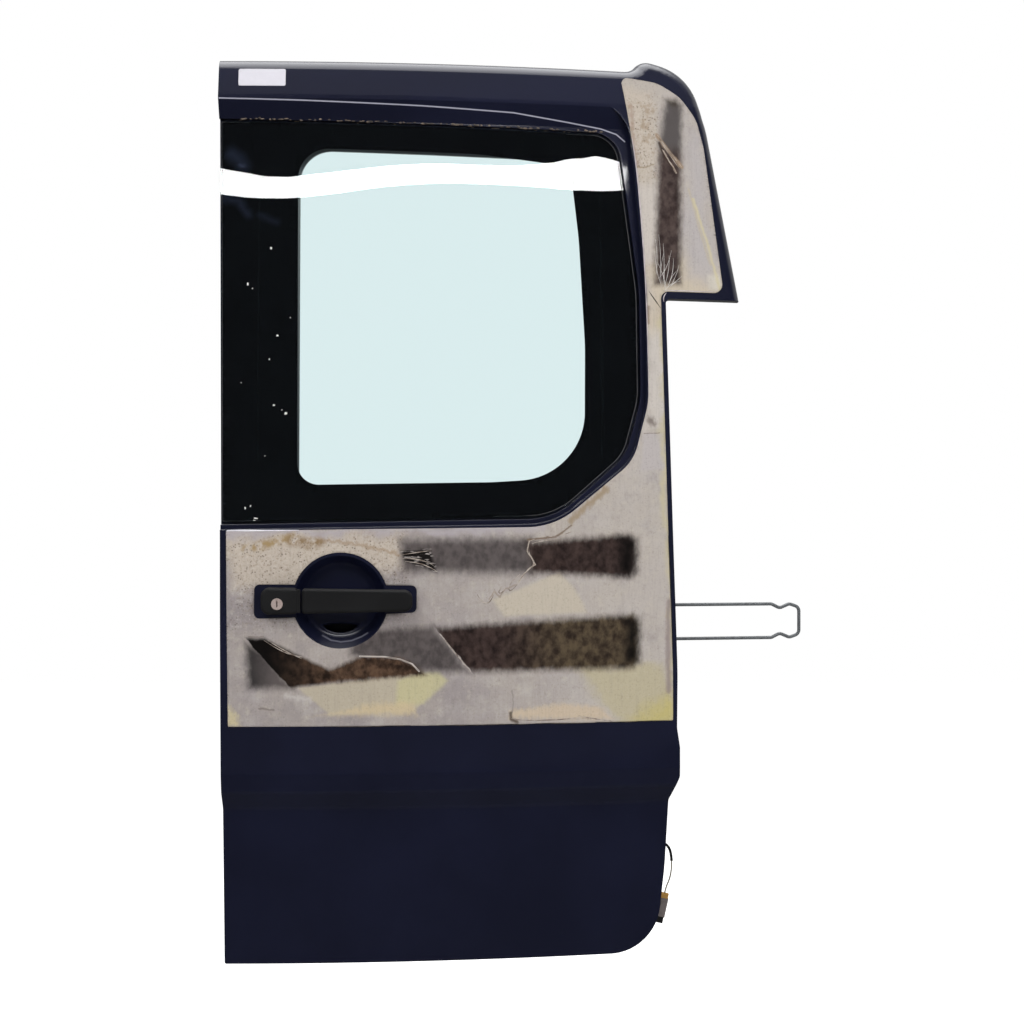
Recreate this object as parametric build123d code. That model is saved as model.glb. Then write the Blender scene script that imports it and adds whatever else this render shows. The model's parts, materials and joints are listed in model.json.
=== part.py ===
from build123d import *
import math
import os

# Rear barn door of a camper van, in millimetres.
# X runs from the meeting edge to the hinge edge, Y into the vehicle, Z up.
# The door is drawn with X = 0 at its meeting edge and Z = 0 at its bottom edge.
# At the end everything moves so that the origin lies on the lower hinge pad's face.

# Overall form
door_height = 1360.0
door_width = 684.0
plan_radius = 2500.0
skin_t = 2.0
frame_t = 2.0
seat_gap = 0.3
hem_depth = 30.0
frame_inset = 16.0
roll_radius = 22.0
meet_lean = 12.0
meet_corner = 3.0

# Side profile of the skin, depth behind the bulge and height
lower_depth = 25.0
lower_lean = 3.0
swage_bottom = 233.0
swage_foot_round = 14.0
swage_depth = 4.0
swage_round = 12.0
bulge_round = 20.0
belly_radius = 1200.0
waist_radius = 900.0
swage_rise = 25.0
swage_top = swage_bottom + swage_rise
bulge_rise = 27.0
bulge_height = swage_top + bulge_rise
belly_depth = 6.0
belly_share = 0.6
waist_depth = 14.0
waist_height = 640.0
belly_height = bulge_height + belly_share * (waist_height - bulge_height)
crease_depth = 34.0
header_height = 60.0
crease_height = door_height - header_height
crease_radius = 34.0
header_lean = 0.3

# Hinge edge: how far inside the door's width at the bottom, swage, horn and top
edge_bottom = 34.0
edge_foot = 19.0
edge_foot_height = 130.0
edge_swage = 13.0
edge_bulge = -3.5
edge_side = 1.0
edge_horn = 17.0
edge_top = 34.0
bottom_corner = 76.0
edge_foot_radius = 300.0
edge_bump_foot = 12.0
edge_bump_height = 31.0
edge_bump_fade = 60.0
edge_bump_end = 145.0
edge_bump_radius = 14.0
edge_fade_radius = 30.0
edge_side_radius = 900.0

# Inner face of the frame
frame_depth_bottom = 92.0
frame_depth_waist = 86.0
frame_depth_top = 122.0
frame_waist_radius = 600.0
frame_side_radius = 400.0
frame_top_corner = 30.0
bead_rise = 4.0
bead_height = 20.0
bead_end = 70.0
bead_spacing = 12.0

# Horn at the upper hinge corner
horn_width = 101.0
horn_reach = door_width + horn_width
horn_height = 355.0
horn_bottom = door_height - horn_height
horn_rise = 20.0
horn_root = 72.0
horn_start = door_width - horn_root
horn_notch_radius = 7.5
horn_lean = 52.0
horn_shoulder = 110.0
horn_shoulder_radius = 150.0
horn_crown = 81.0
horn_crown_drop = 18.0
horn_crown_radius = 85.0
horn_step = 18.0
horn_step_radius = 26.0
horn_root_radius = 20.0

# Window
glass_t = 4.0
bead_t = 4.0
bead_w = 10.0
bead_inset = 12.0
glass_gap = 3.0
glass_left = 1.5
glass_margin = 60.0
glass_right = door_width - glass_margin
glass_above_waist = 20.0
glass_bottom = waist_height + glass_above_waist
glass_below_crease = 34.0
glass_top = crease_height - glass_below_crease
glass_elbow = 190.0
glass_side_share = 0.4
glass_foot = 130.0
glass_foot_rise = 9.0
glass_foot_radius = 110.0
glass_knee = 22.0
glass_knee_height = 104.0
glass_knee_radius = 70.0
glass_elbow_radius = 120.0
glass_side_radius = 300.0
glass_top_lean = 34.0
glass_top_radius = 42.0
glass_bow = 1.0
glass_depth_bottom = 21.0
glass_depth_top = 48.0
reveal_side = 12.0
reveal_bottom = 11.0
reveal_rise = 8.0
reveal_round = 6.0
reveal_top_lean = 16.0
reveal_top_radius = 70.0
frit_left = 110.5
frit_right = 81.0
frit_bottom = 58.0
frit_top = 41.0
clear_left = glass_left + frit_left
clear_right = glass_right - frit_right
clear_bottom = glass_bottom + frit_bottom
clear_top = glass_top - frit_top
clear_side_share = 0.47
clear_lean = 20.0
clear_drop = 8.0
clear_corner = 40.0
clear_foot_corner = 22.0
clear_knee_corner = 72.0
clear_bow_radius = 600.0
aperture_margin = 8.0

# Handle
handle_x = 174.0
handle_z = 544.0
cup_radius = 69.0
cup_depth = 28.0
cup_draft = 0.55
cup_round = 14.0
cup_lip = 30.0
bar_left = -117.0
bar_right = 107.0
bar_half_left = 20.0
bar_half_right = 16.0
bar_front = 24.0
bar_back = 7.0
bar_corner = 12.0
bar_joint_corner = 6.0
bar_round = 5.0
cover_right = -62.0
lever_gap = 5.0
gasket_t = 2.0
pin_x = 88.0
pin_depth = 14.0
pin_radius = 2.5
pin_fit = 0.08
lug_half = 6.0
lug_gap = 1.0
slot_half = 10.0
lock_x = -93.0
lock_z = -4.0
lock_radius = 8.5
lock_fit = 0.08
lock_proud = 2.0
lock_depth = 24.0
key_slot_w = 2.0
key_slot_h = 9.0
key_slot_depth = 4.0
carrier_back = 40.0
carrier_t = 6.0
carrier_half = 16.0
carrier_end = 4.0
skin_hole_gap = 1.5

# Latch at the meeting edge
latch_z = 437.0
latch_w = 40.0
latch_d = 34.0
latch_h = 86.0
latch_depth = 50.0
mouth_h = 24.0
mouth_d = 22.0
claw_t = 5.0
claw_radius = 9.0
claw_back = 8.0
claw_pin_radius = 2.5
pocket_w = 24.0
latch_round = 6.0

# Hinge pads
pad_h = 90.0
pad_d = 30.0
pad_t = 8.0
pad_below_horn = 115.0
pad_upper_z = horn_bottom - pad_below_horn
pad_lower_z = 395.0
pad_depth = 56.0
pad_hole_radius = 4.0
pad_hole_spacing = 56.0
pad_corner = 8.0

# Door check
check_z = 504.7
check_half = 26.5
check_tilt = 11.3
check_depth = 56.0
check_wire_radius = 2.6
check_neck = 190.0
check_neck_half = 19.8
check_bulb = 206.0
check_end = 222.0
check_end_half = 21.0
check_bend = 9.0
check_fit = 0.5
check_stop_gap = 5.0
check_stop_t = 5.0
check_stop_d = 12.0
check_stop_h = 70.0
check_slot_gap = 3.0
check_plate_t = 3.0
check_plate_h = 84.0
check_plate_d = 30.0
check_plate_corner = 6.0
guide_l = 36.0
guide_h = 76.0
guide_d = 22.0
roller_radius = 8.0
roller_l = 14.0
roller_gap = 1.0
roller_pin_radius = 3.0

# Wiring tail
harness_z = 160.0
harness_depth = 46.0
sheath_radius = 2.25
wire_radius = 1.2
grommet_radius = 9.0
grommet_proud = 5.0
grommet_groove = 6.0
plug_w = 15.0
plug_d = 10.0
plug_band_h = 8.0
plug_body_h = 29.0
plug_cap_h = 10.0
plug_step = 1.0
plug_corner = 1.5
plug_tab_w = 6.0
plug_tab_t = 1.6
plug_tab_h = 16.0

# Inner trim
trim_left = 46.0
trim_margin = 66.0
trim_right = door_width - trim_margin
trim_bottom = 44.0
trim_below_glass = 20.0
trim_top = glass_bottom - trim_below_glass
trim_t = 3.0
trim_corner = 30.0
trim_field_inset = 44.0
trim_field_rise = 5.0
clip_radius = 8.0
clip_t = 3.0
window_trim_w = 24.0
window_trim_t = 7.0
window_trim_round = 3.0

# Drain plugs in the bottom wall
drain_radius = 9.0
drain_t = 3.0
drain_places = (150.0, 520.0)

# Building space beyond the door, used by cuts that run right through
reach = door_width
start_angle = 3.0
shortest_line = 0.001
plan_axis = Axis((0, plan_radius, 0), (0, 0, 1))


def turn_at(before, here, after):
    """Signed turn at a corner, in radians, positive to the left."""
    a = math.atan2(here[1] - before[1], here[0] - before[0])
    b = math.atan2(after[1] - here[1], after[0] - here[0])
    return math.remainder(b - a, 2 * math.pi)


def shift_line(p, q, d):
    """The line from p to q moved d to its left, as a point and a direction."""
    dx = q[0] - p[0]
    dy = q[1] - p[1]
    n = math.hypot(dx, dy)
    return (p[0] - dy / n * d, p[1] + dx / n * d), (dx / n, dy / n)


def cross_point(first, second):
    """Where two lines, each a point and a direction, meet."""
    (ax, ay), (ux, uy) = first
    (bx, by), (vx, vy) = second
    s = ((bx - ax) * vy - (by - ay) * vx) / (ux * vy - uy * vx)
    return (ax + ux * s, ay + uy * s)


def inset_loop(corners, d):
    """Corners (u, v, radius) of a loop that runs anticlockwise, moved inward by d."""
    n = len(corners)
    moved = []
    for i in range(n):
        before = corners[i - 1]
        here = corners[i]
        after = corners[(i + 1) % n]
        point = cross_point(shift_line(before, here, d), shift_line(here, after, d))
        side = math.copysign(1, turn_at(before, here, after))
        radius = max(here[2] - side * d, 0) if here[2] else 0
        moved.append((point[0], point[1], radius))
    return moved


def inset_profile(corners, d):
    """Corners (depth, height, radius) of an upward profile, moved into the door by d."""
    moved = []
    for i, here in enumerate(corners):
        before = corners[max(i - 1, 0)]
        after = corners[min(i + 1, len(corners) - 1)]
        if i == 0:
            point = shift_line(here, after, -d)[0]
        elif i == len(corners) - 1:
            line = shift_line(before, here, -d)
            length = math.hypot(here[0] - before[0], here[1] - before[1])
            point = (line[0][0] + line[1][0] * length, line[0][1] + line[1][1] * length)
        else:
            point = cross_point(shift_line(before, here, -d), shift_line(here, after, -d))
        side = math.copysign(1, turn_at(before, here, after))
        radius = max(here[2] + side * d, 0) if here[2] else 0
        moved.append((point[0], point[1], radius))
    return moved


def rounded_face(corners, lift):
    """Face inside a loop of corners (u, v, radius); lift turns (u, v) into a point in space."""
    n = len(corners)
    starts = []
    middles = []
    ends = []
    for i, (u, v, radius) in enumerate(corners):
        before = corners[i - 1]
        after = corners[(i + 1) % n]
        turn = turn_at(before, (u, v), after)
        back = math.atan2(before[1] - v, before[0] - u)
        on = math.atan2(after[1] - v, after[0] - u)
        cut = radius * math.tan(abs(turn) / 2)
        half_way = back + math.remainder(on - back, 2 * math.pi) / 2
        inward = radius * (1 / math.cos(turn / 2) - 1)
        starts.append(lift(u + cut * math.cos(back), v + cut * math.sin(back)))
        middles.append(lift(u + inward * math.cos(half_way), v + inward * math.sin(half_way)))
        ends.append(lift(u + cut * math.cos(on), v + cut * math.sin(on)))
    edges = []
    for i, (u, v, radius) in enumerate(corners):
        if radius:
            edges.append(Edge.make_three_point_arc(starts[i], middles[i], ends[i]))
        following = starts[(i + 1) % n]
        if math.dist(ends[i], following) > shortest_line:
            edges.append(Edge.make_line(ends[i], following))
    return Face(Wire(edges))


def prism(corners):
    """Solid along Y over a front outline of corners (x, z, radius)."""
    face = rounded_face(corners, lambda x, z: (x, -reach, z))
    return extrude(face, amount=2 * reach, dir=(0, 1, 0))


def band(front, back):
    """Solid between two side profiles, carried round the plan radius."""
    face = rounded_face(front + back[::-1], lambda y, z: (0, y, z))
    sweep_angle = start_angle + math.degrees(horn_reach / plan_radius) + start_angle
    return revolve(face.rotate(plan_axis, -start_angle), plan_axis, revolution_arc=sweep_angle)


def depth_at(profile, z):
    """Depth of a side profile at a height, without its corner rounding."""
    for low, high in zip(profile, profile[1:]):
        if low[1] <= z <= high[1]:
            return low[0] + (high[0] - low[0]) * (z - low[1]) / (high[1] - low[1])
    raise ValueError("height outside the profile")


def place(profile, x, z):
    """Y of a profile's swept face at a given X and Z."""
    radius = plan_radius - depth_at(profile, z)
    return plan_radius - math.sqrt(radius * radius - x * x)


def line_through(low, high, z_low, z_high):
    """A straight profile through two (depth, height) points, run on to two heights."""
    slope = (high[0] - low[0]) / (high[1] - low[1])
    return [(low[0] + slope * (z - low[1]), z, 0) for z in (z_low, z_high)]


z_under = -60.0
z_over = door_height + 80.0
far_front = [(-reach, z_under, 0), (-reach, z_over, 0)]
far_back = [(reach, z_under, 0), (reach, z_over, 0)]

skin_profile = [
    (lower_depth, z_under, 0),
    (lower_depth - lower_lean, swage_bottom, swage_foot_round),
    (swage_depth, swage_top, swage_round),
    (0, bulge_height, bulge_round),
    (belly_depth, belly_height, belly_radius),
    (waist_depth, waist_height, waist_radius),
    (crease_depth, crease_height, crease_radius),
    (crease_depth + header_lean * (z_over - crease_height), z_over, 0),
]
back_profile = [
    (frame_depth_bottom, z_under, 0),
    (frame_depth_waist, waist_height, frame_waist_radius),
    (frame_depth_top, z_over, 0),
]
glass_profile = line_through(
    (glass_depth_bottom, glass_bottom), (glass_depth_top, glass_top), z_under, z_over
)


def hinge_edge():
    """Corners of the hinge edge, from the bottom corner up to the horn."""
    return [
        (door_width - edge_bottom, 0, bottom_corner),
        (door_width - edge_foot, edge_foot_height, edge_foot_radius),
        (door_width - edge_swage, swage_bottom, edge_bump_radius),
        (door_width - edge_bulge, swage_top + edge_bump_foot, edge_bump_radius),
        (door_width - edge_bulge, bulge_height + edge_bump_height, edge_bump_radius),
        (door_width - edge_side, bulge_height + edge_bump_fade, edge_fade_radius),
        (door_width, bulge_height + edge_bump_end, edge_side_radius),
    ]


def meet_x(z):
    """X of the meeting edge at a height: it leans out towards the top."""
    return -meet_lean * z / door_height


def door_outline():
    """Front outline of the whole skin, anticlockwise seen from outside."""
    horn_top = door_height + horn_rise
    return [(0, 0, meet_corner)] + hinge_edge() + [
        (door_width - edge_horn, horn_bottom, horn_notch_radius),
        (horn_reach, horn_bottom, 0),
        (horn_reach - horn_lean, horn_top - horn_shoulder, horn_shoulder_radius),
        (horn_reach - horn_crown, horn_top - horn_crown_drop, horn_crown_radius),
        (horn_start + horn_step, horn_top, horn_step_radius),
        (horn_start, door_height, horn_root_radius),
        (meet_x(door_height), door_height, 0),
    ]


def main_outline():
    """Outline of the door without its horn, which the inner frame follows."""
    return [(0, 0, meet_corner)] + hinge_edge() + [
        (door_width - edge_horn, horn_bottom, frame_side_radius),
        (door_width - edge_top, door_height, frame_top_corner),
        (meet_x(door_height), door_height, meet_corner),
    ]


def glass_side():
    """Height at which the glass's hinge side starts to lean in."""
    elbow = glass_bottom + glass_elbow
    return elbow + glass_side_share * (glass_top - elbow)


def glass_outline(run_on=0.0):
    """Outline of the glass; run_on carries its top and bottom past the meeting edge."""
    low = (glass_right - glass_foot, glass_bottom + glass_foot_rise, glass_foot_radius)
    high = (glass_right - glass_top_lean, glass_top - glass_foot_rise, glass_top_radius)
    low_left = glass_left + meet_x(glass_bottom)
    high_left = glass_left + meet_x(glass_top)
    low_slope = glass_foot_rise / (low[0] - low_left)
    high_slope = -glass_foot_rise / (high[0] - high_left)
    return [
        (low_left - run_on, glass_bottom - run_on * low_slope, glass_t / 2),
        low,
        (glass_right - glass_knee, glass_bottom + glass_knee_height, glass_knee_radius),
        (glass_right + glass_bow, glass_bottom + glass_elbow, glass_elbow_radius),
        (glass_right - glass_bow, glass_side(), glass_side_radius),
        high,
        (high_left - run_on, glass_top - run_on * high_slope, glass_t / 2),
    ]


def shoulder_outline():
    """Outline of the window pocket, which runs out at the meeting edge."""
    run_out = meet_x(door_height) - roll_radius
    bottom = glass_bottom - reveal_bottom
    knee_radius = glass_knee_radius + reveal_round
    elbow_radius = glass_elbow_radius + reveal_round
    side = glass_right + reveal_side
    return [
        (run_out, bottom, 0),
        (glass_right - glass_foot, bottom + glass_foot_rise, glass_foot_radius + reveal_rise),
        (side - glass_knee, glass_bottom + glass_knee_height - reveal_rise, knee_radius),
        (side + glass_bow, glass_bottom + glass_elbow - reveal_round, elbow_radius),
        (side - glass_bow, glass_side(), glass_side_radius),
        (glass_right - reveal_top_lean, crease_height + reveal_rise, reveal_top_radius),
        (run_out, crease_height + reveal_side, 0),
    ]


def clear_outline():
    """Outline of the part of the glass that is not blacked out."""
    side = clear_bottom + clear_side_share * (clear_top - clear_bottom)
    return [
        (clear_left, clear_bottom, clear_foot_corner),
        (clear_right - 2 * glass_bow, clear_bottom, clear_knee_corner),
        (clear_right, side, clear_bow_radius),
        (clear_right - clear_lean, clear_top - clear_drop, clear_corner),
        (clear_left, clear_top, clear_corner),
    ]


def pocket(d):
    """Space of the window pocket, with its walls moved into the sheet by d."""
    ledge = line_through(
        (glass_depth_bottom, glass_bottom), (glass_depth_top, glass_top), z_under, glass_top
    )
    ledge.append((crease_depth - reveal_rise, crease_height + reveal_top_lean, 0))
    ledge.append((crease_depth - reveal_rise, z_over, 0))
    shelf = prism(inset_loop(shoulder_outline(), -d)) & band(far_front, inset_profile(ledge, d))
    floor = inset_profile(glass_profile, glass_t + bead_t + d)
    well = prism(inset_loop(glass_outline(reach), -glass_gap - d))
    return shelf + (well & band(far_front, floor))


def handle_frame():
    """Local frame of the handle: on the skin, turned with the plan curve."""
    y = place(skin_profile, handle_x, handle_z)
    angle = math.degrees(math.asin(handle_x / plan_radius))
    return Pos(handle_x, y, handle_z) * Rot(0, 0, angle)


def cup(d):
    """Space of the round handle cup, with its walls moved into the sheet by d."""
    wall_shift = d * math.hypot(1, cup_draft)
    outer = cup_radius + cup_draft * cup_lip + wall_shift
    inner = cup_radius - cup_draft * (cup_depth + d) + wall_shift
    floor_y = cup_depth + d
    corners = [(0, -cup_lip, 0), (outer, -cup_lip, 0), (inner, floor_y, cup_round + d), (0, floor_y, 0)]
    face = rounded_face(corners, lambda x, y: (x, y, 0))
    return handle_frame() * revolve(face, Axis.Y, revolution_arc=360)


def front_edges(solid):
    """Front edges of the top and of the horn, which roll over."""
    found = []
    for face in solid.faces():
        normal = face.normal_at(face.center())
        if abs(normal.Y) > 0.02 or face.center().Z < horn_bottom + roll_radius:
            continue
        for edge in face.edges():
            across = abs(edge.tangent_at(0.5).Y) < 0.8
            if across and edge.center().Y < reach - 1 and edge.center().X > 1:
                found.append(edge)
    return found


def panel_body(d):
    """The door filled in behind its skin, with every outer face moved inward by d."""
    solid = band(inset_profile(skin_profile, d), far_back) & prism(inset_loop(door_outline(), d))
    edges = {}
    for edge in front_edges(solid):
        c = edge.center()
        edges[(round(c.X, 2), round(c.Y, 2), round(c.Z, 2))] = edge
    solid = fillet(list(edges.values()), roll_radius - d)
    return solid - pocket(d) - cup(d)


def aperture():
    """Outline of the opening behind the glass, a little larger than the clear area."""
    return inset_loop(clear_outline(), -aperture_margin)


def wall_x(z):
    """X of the inner frame's hinge-side wall at a height."""
    line = [(x, height) for x, height, r in hinge_edge()]
    line.append((door_width - edge_horn, horn_bottom))
    return depth_at(line, z) - frame_inset


def local_prism(corners, front, back):
    """Solid in the handle's frame over corners (x, z, radius), between two depths."""
    face = rounded_face(corners, lambda x, z: (x, front, z))
    return extrude(face, amount=back - front, dir=(0, 1, 0))


def block(x0, x1, y0, y1, z0, z1):
    """Box between two corners."""
    size = Box(x1 - x0, y1 - y0, z1 - z0)
    return Pos((x0 + x1) / 2, (y0 + y1) / 2, (z0 + z1) / 2) * size


def rod(axis, radius, start, length):
    """Cylinder from a start point along the X, Y or Z axis."""
    turned = {"x": Rot(0, 90, 0), "y": Rot(-90, 0, 0), "z": Rot(0, 0, 0)}[axis]
    bottom = (Align.CENTER, Align.CENTER, Align.MIN)
    return Pos(*start) * turned * Cylinder(radius, length, align=bottom)


def bar_half(x):
    """Half height of the handle bar at a local X."""
    share = (x - bar_left) / (bar_right - bar_left)
    return bar_half_left + (bar_half_right - bar_half_left) * share


def bar_piece(x0, x1, r0, r1):
    """Corners of a length of the tapering handle bar."""
    h0 = bar_half(x0)
    h1 = bar_half(x1)
    return [(x0, -h0, r0), (x1, -h1, r1), (x1, h1, r1), (x0, h0, r0)]


def front_rim(solid):
    """Edges of a local solid's foremost face."""
    return solid.faces().sort_by(Axis.Y)[0].edges()


def make_skin():
    """Pressed sheet: the filled door less the same door one sheet further in."""
    sheet = panel_body(0) - panel_body(skin_t)
    sheet &= band(far_front, inset_profile(skin_profile, hem_depth))
    sheet -= prism(aperture())
    lug_hole = lug_half + skin_hole_gap
    sheet -= handle_frame() * block(
        pin_x - lug_hole, pin_x + lug_hole, -bar_front, bar_front, -lug_hole, lug_hole
    )
    lock_hole = rod("y", lock_radius + skin_hole_gap, (lock_x, -bar_front, lock_z), 2 * bar_front)
    return sheet - handle_frame() * lock_hole


def bead_outline(z):
    """Long rounded outline of a stiffening bead at a height."""
    half = bead_height / 2
    left = bead_end
    right = door_width - bead_end
    return [(left, z - half, half), (right, z - half, half), (right, z + half, half), (left, z + half, half)]


def bead_heights():
    """Heights of the beads: between the trims, and above the window trim."""
    under = (trim_top + clear_bottom - aperture_margin - window_trim_w) / 2
    over = clear_top + aperture_margin + window_trim_w + bead_spacing + bead_height / 2
    return (under, over)


def pressed_bead(z, d):
    """Bead pressed out of the frame's inner face, with its walls moved into the sheet by d."""
    face = inset_profile(back_profile, bead_rise - d)
    return band(far_front, face) & prism(inset_loop(bead_outline(z), d))


def make_frame():
    """Inner pan with its flange, its beads, its window reveal and its cut-outs."""
    flange_front = inset_profile(skin_profile, hem_depth - frame_t)
    flange_back = inset_profile(skin_profile, hem_depth)
    rim = prism(inset_loop(main_outline(), skin_t + seat_gap))
    outer = prism(inset_loop(main_outline(), frame_inset))
    inner = prism(inset_loop(main_outline(), frame_inset + frame_t))
    frame = band(flange_front, back_profile) & rim
    frame -= band(flange_back, far_back) - outer
    hollow = band(far_front, inset_profile(back_profile, -frame_t)) & inner
    for z in bead_heights():
        frame += pressed_bead(z, 0) - hollow
        hollow += pressed_bead(z, frame_t)
    frame -= hollow
    pocket_back = inset_profile(glass_profile, glass_t + bead_t + skin_t + seat_gap)
    frame += band(pocket_back, back_profile) & prism(inset_loop(aperture(), -frame_t))
    frame -= prism(aperture())
    frame -= latch_frame() * mouth(-latch_w)
    frame -= check_frame() * check_slot(check_slot_gap)
    frame -= rod("x", grommet_groove, harness_start(-2 * frame_inset), 2 * frame_inset + frame_t)
    for z in (pad_lower_z, pad_upper_z):
        frame -= pad_holes(z)
    for x in drain_places:
        frame -= rod("z", drain_radius - drain_t, drain_point(x, -frame_inset), 3 * frame_inset)
    return frame


def make_horn_backing():
    """Flat panel that closes the horn from behind, in line with the frame's flange."""
    front = inset_profile(skin_profile, hem_depth - frame_t)
    back = inset_profile(skin_profile, hem_depth)
    beside = prism(inset_loop(main_outline(), -seat_gap))
    rim = prism(inset_loop(door_outline(), skin_t + seat_gap))
    upper = block(0, 2 * reach, -reach, reach, horn_bottom, door_height + reach)
    return (band(front, back) & rim & upper) - beside


def make_glass():
    """Curved pane."""
    return band(glass_profile, inset_profile(glass_profile, glass_t)) & prism(glass_outline())


def make_bead():
    """Adhesive bead between the pane and the pocket floor."""
    front = inset_profile(glass_profile, glass_t + seat_gap)
    back = inset_profile(glass_profile, glass_t + bead_t - seat_gap)
    outer = prism(inset_loop(glass_outline(), bead_inset))
    inner = prism(inset_loop(glass_outline(), bead_inset + bead_w))
    return band(front, back) & (outer - inner)


def behind_frame(d):
    """The frame's inner face moved a distance into the vehicle."""
    return inset_profile(back_profile, seat_gap + d)


def make_window_trim():
    """Moulded surround of the window opening, on the inside."""
    ring = prism(inset_loop(aperture(), -window_trim_w)) - prism(aperture())
    moulding = band(behind_frame(0), behind_frame(window_trim_t)) & ring
    inner_face = moulding.faces().sort_by(Axis.Y)[-1]
    return fillet(inner_face.edges(), window_trim_round)


def trim_outline(d):
    """Outline of the trim board, moved inward by d."""
    corners = [
        (trim_left, trim_bottom, trim_corner),
        (trim_right, trim_bottom, trim_corner),
        (trim_right, trim_top, trim_corner),
        (trim_left, trim_top, trim_corner),
    ]
    return inset_loop(corners, d)


def make_trim_panel():
    """Trim board over the lower half, on the inside, with a pressed field."""
    board = band(behind_frame(0), behind_frame(trim_t)) & prism(trim_outline(0))
    raise_outline = [(x, z, trim_corner) for x, z, r in trim_outline(trim_field_inset)]
    board += band(behind_frame(0), behind_frame(trim_t + trim_field_rise)) & prism(raise_outline)
    hollow = band(far_front, behind_frame(trim_field_rise)) & prism(inset_loop(raise_outline, trim_t))
    return board - hollow


def clip_places():
    """Centres of the clips round the trim board."""
    low = trim_bottom + trim_corner
    high = trim_top - trim_corner
    left = trim_left + trim_corner
    right = trim_right - trim_corner
    middle = (left + right) / 2
    across = [(x, z) for z in (low, high) for x in (left, middle, right)]
    return across + [(x, (low + high) / 2) for x in (left, right)]


def make_trim_clips():
    """Round clip heads on the trim board."""
    layer = band(behind_frame(trim_t + seat_gap), behind_frame(trim_t + clip_t))
    heads = [layer & rod("y", clip_radius, (x, -reach, z), 2 * reach) for x, z in clip_places()]
    return Compound(children=[head.solids()[0] for head in heads])


def make_carrier(inside):
    """Bracket behind the skin with the lug of the lever and the seat of the lock."""
    left = bar_left - carrier_end
    right = bar_right + carrier_end
    clear = cup_radius + skin_t + seat_gap + carrier_end
    front = carrier_back - carrier_t
    shape = block(left, right, front, carrier_back, -carrier_half, carrier_half)
    shape += block(left, -clear, -bar_back, front, -carrier_half, carrier_half)
    shape += block(clear, right, -bar_back, front, -carrier_half, carrier_half)
    shape = (handle_frame() * shape) & inside
    lug = block(pin_x - lug_half, pin_x + lug_half, -pin_depth, front, -lug_half, lug_half)
    lug += rod("z", lug_half, (pin_x, -pin_depth, -lug_half), 2 * lug_half)
    shape += handle_frame() * lug
    shape -= handle_frame() * pin_rod(pin_fit)
    return shape - handle_frame() * lock_rod(lock_fit)


def pin_rod(fit):
    """The lever's hinge pin, or with a fit its hole, in the handle's frame."""
    length = 2 * (bar_half(pin_x) - bar_round)
    return rod("z", pin_radius + fit, (pin_x, -pin_depth, -length / 2), length)


def lock_rod(fit):
    """The key barrel, or with a fit its hole, in the handle's frame."""
    front = -bar_front - lock_proud
    return rod("y", lock_radius + fit, (lock_x, front, lock_z), lock_depth - front + fit)


def make_lever():
    """Pull lever, hollow round the carrier's lug."""
    corners = bar_piece(cover_right + lever_gap, bar_right, bar_joint_corner, bar_corner)
    shape = local_prism(corners, -bar_front, -bar_back)
    shape = fillet(front_rim(shape), bar_round)
    wide = lug_half + lug_gap
    ceiling = -pin_depth - wide
    shape -= block(pin_x - slot_half, pin_x + slot_half, ceiling, 0, -wide, wide)
    return handle_frame() * (shape - pin_rod(pin_fit))


def make_pin():
    """Hinge pin of the lever."""
    return handle_frame() * pin_rod(0)


def cover_prism(right, front):
    """Upright prism over the lock end of the bar, in the handle's frame."""
    return local_prism(bar_piece(bar_left, right, bar_corner, bar_joint_corner), front, bar_front)


def make_lock_cover():
    """Fixed end of the handle bar, seated on the gasket."""
    shape = cover_prism(cover_right, -bar_front)
    shape = fillet(front_rim(shape), bar_round) - lock_rod(lock_fit)
    return (handle_frame() * shape) & band(far_front, inset_profile(skin_profile, -gasket_t))


def make_gasket():
    """Gasket between the lock cover and the skin."""
    shape = cover_prism(-cup_radius - gasket_t, -bar_front) - lock_rod(skin_hole_gap)
    layer = band(inset_profile(skin_profile, -gasket_t), skin_profile)
    return (handle_frame() * shape) & layer


def make_barrel():
    """Key barrel with its keyway."""
    front = -bar_front - lock_proud
    keyway = block(
        lock_x - key_slot_w / 2, lock_x + key_slot_w / 2, front - 1, front + key_slot_depth,
        lock_z - key_slot_h / 2, lock_z + key_slot_h / 2,
    )
    return handle_frame() * (lock_rod(0) - keyway)


def latch_frame():
    """Local frame of the latch: on the inside of the meeting-edge wall."""
    x = meet_x(latch_z - latch_h / 2) + frame_inset + frame_t + seat_gap
    return Pos(x, place(skin_profile, x, latch_z) + latch_depth, latch_z)


def mouth(start):
    """Space of the latch mouth, in the latch's frame."""
    return block(start, pocket_w, -mouth_d / 2, mouth_d / 2, -mouth_h / 2, mouth_h / 2)


def make_latch_case():
    """Latch housing with its mouth towards the meeting edge."""
    case = block(0, latch_w, -latch_d / 2, latch_d / 2, -latch_h / 2, latch_h / 2)
    case = fillet(case.edges().filter_by(Axis.X), latch_round)
    return latch_frame() * (case - mouth(-seat_gap))


def make_latch_claw():
    """Notched claw on its pin, in the mouth of the latch."""
    claw = rod("x", claw_radius, (claw_back, 0, 0), claw_t)
    claw -= block(0, pocket_w, 0, mouth_d, -claw_radius / 3, claw_radius / 3)
    claw += rod("x", claw_pin_radius, (claw_back, -claw_radius / 2, 0), pocket_w - claw_back)
    return latch_frame() * claw


def pad_point(z):
    """Middle of a hinge pad's face."""
    low = wall_x(z - pad_h / 2)
    high = wall_x(z + pad_h / 2)
    x = max(low, wall_x(z), high)
    return (x + pad_t, place(skin_profile, x, z) + pad_depth, z)


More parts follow.
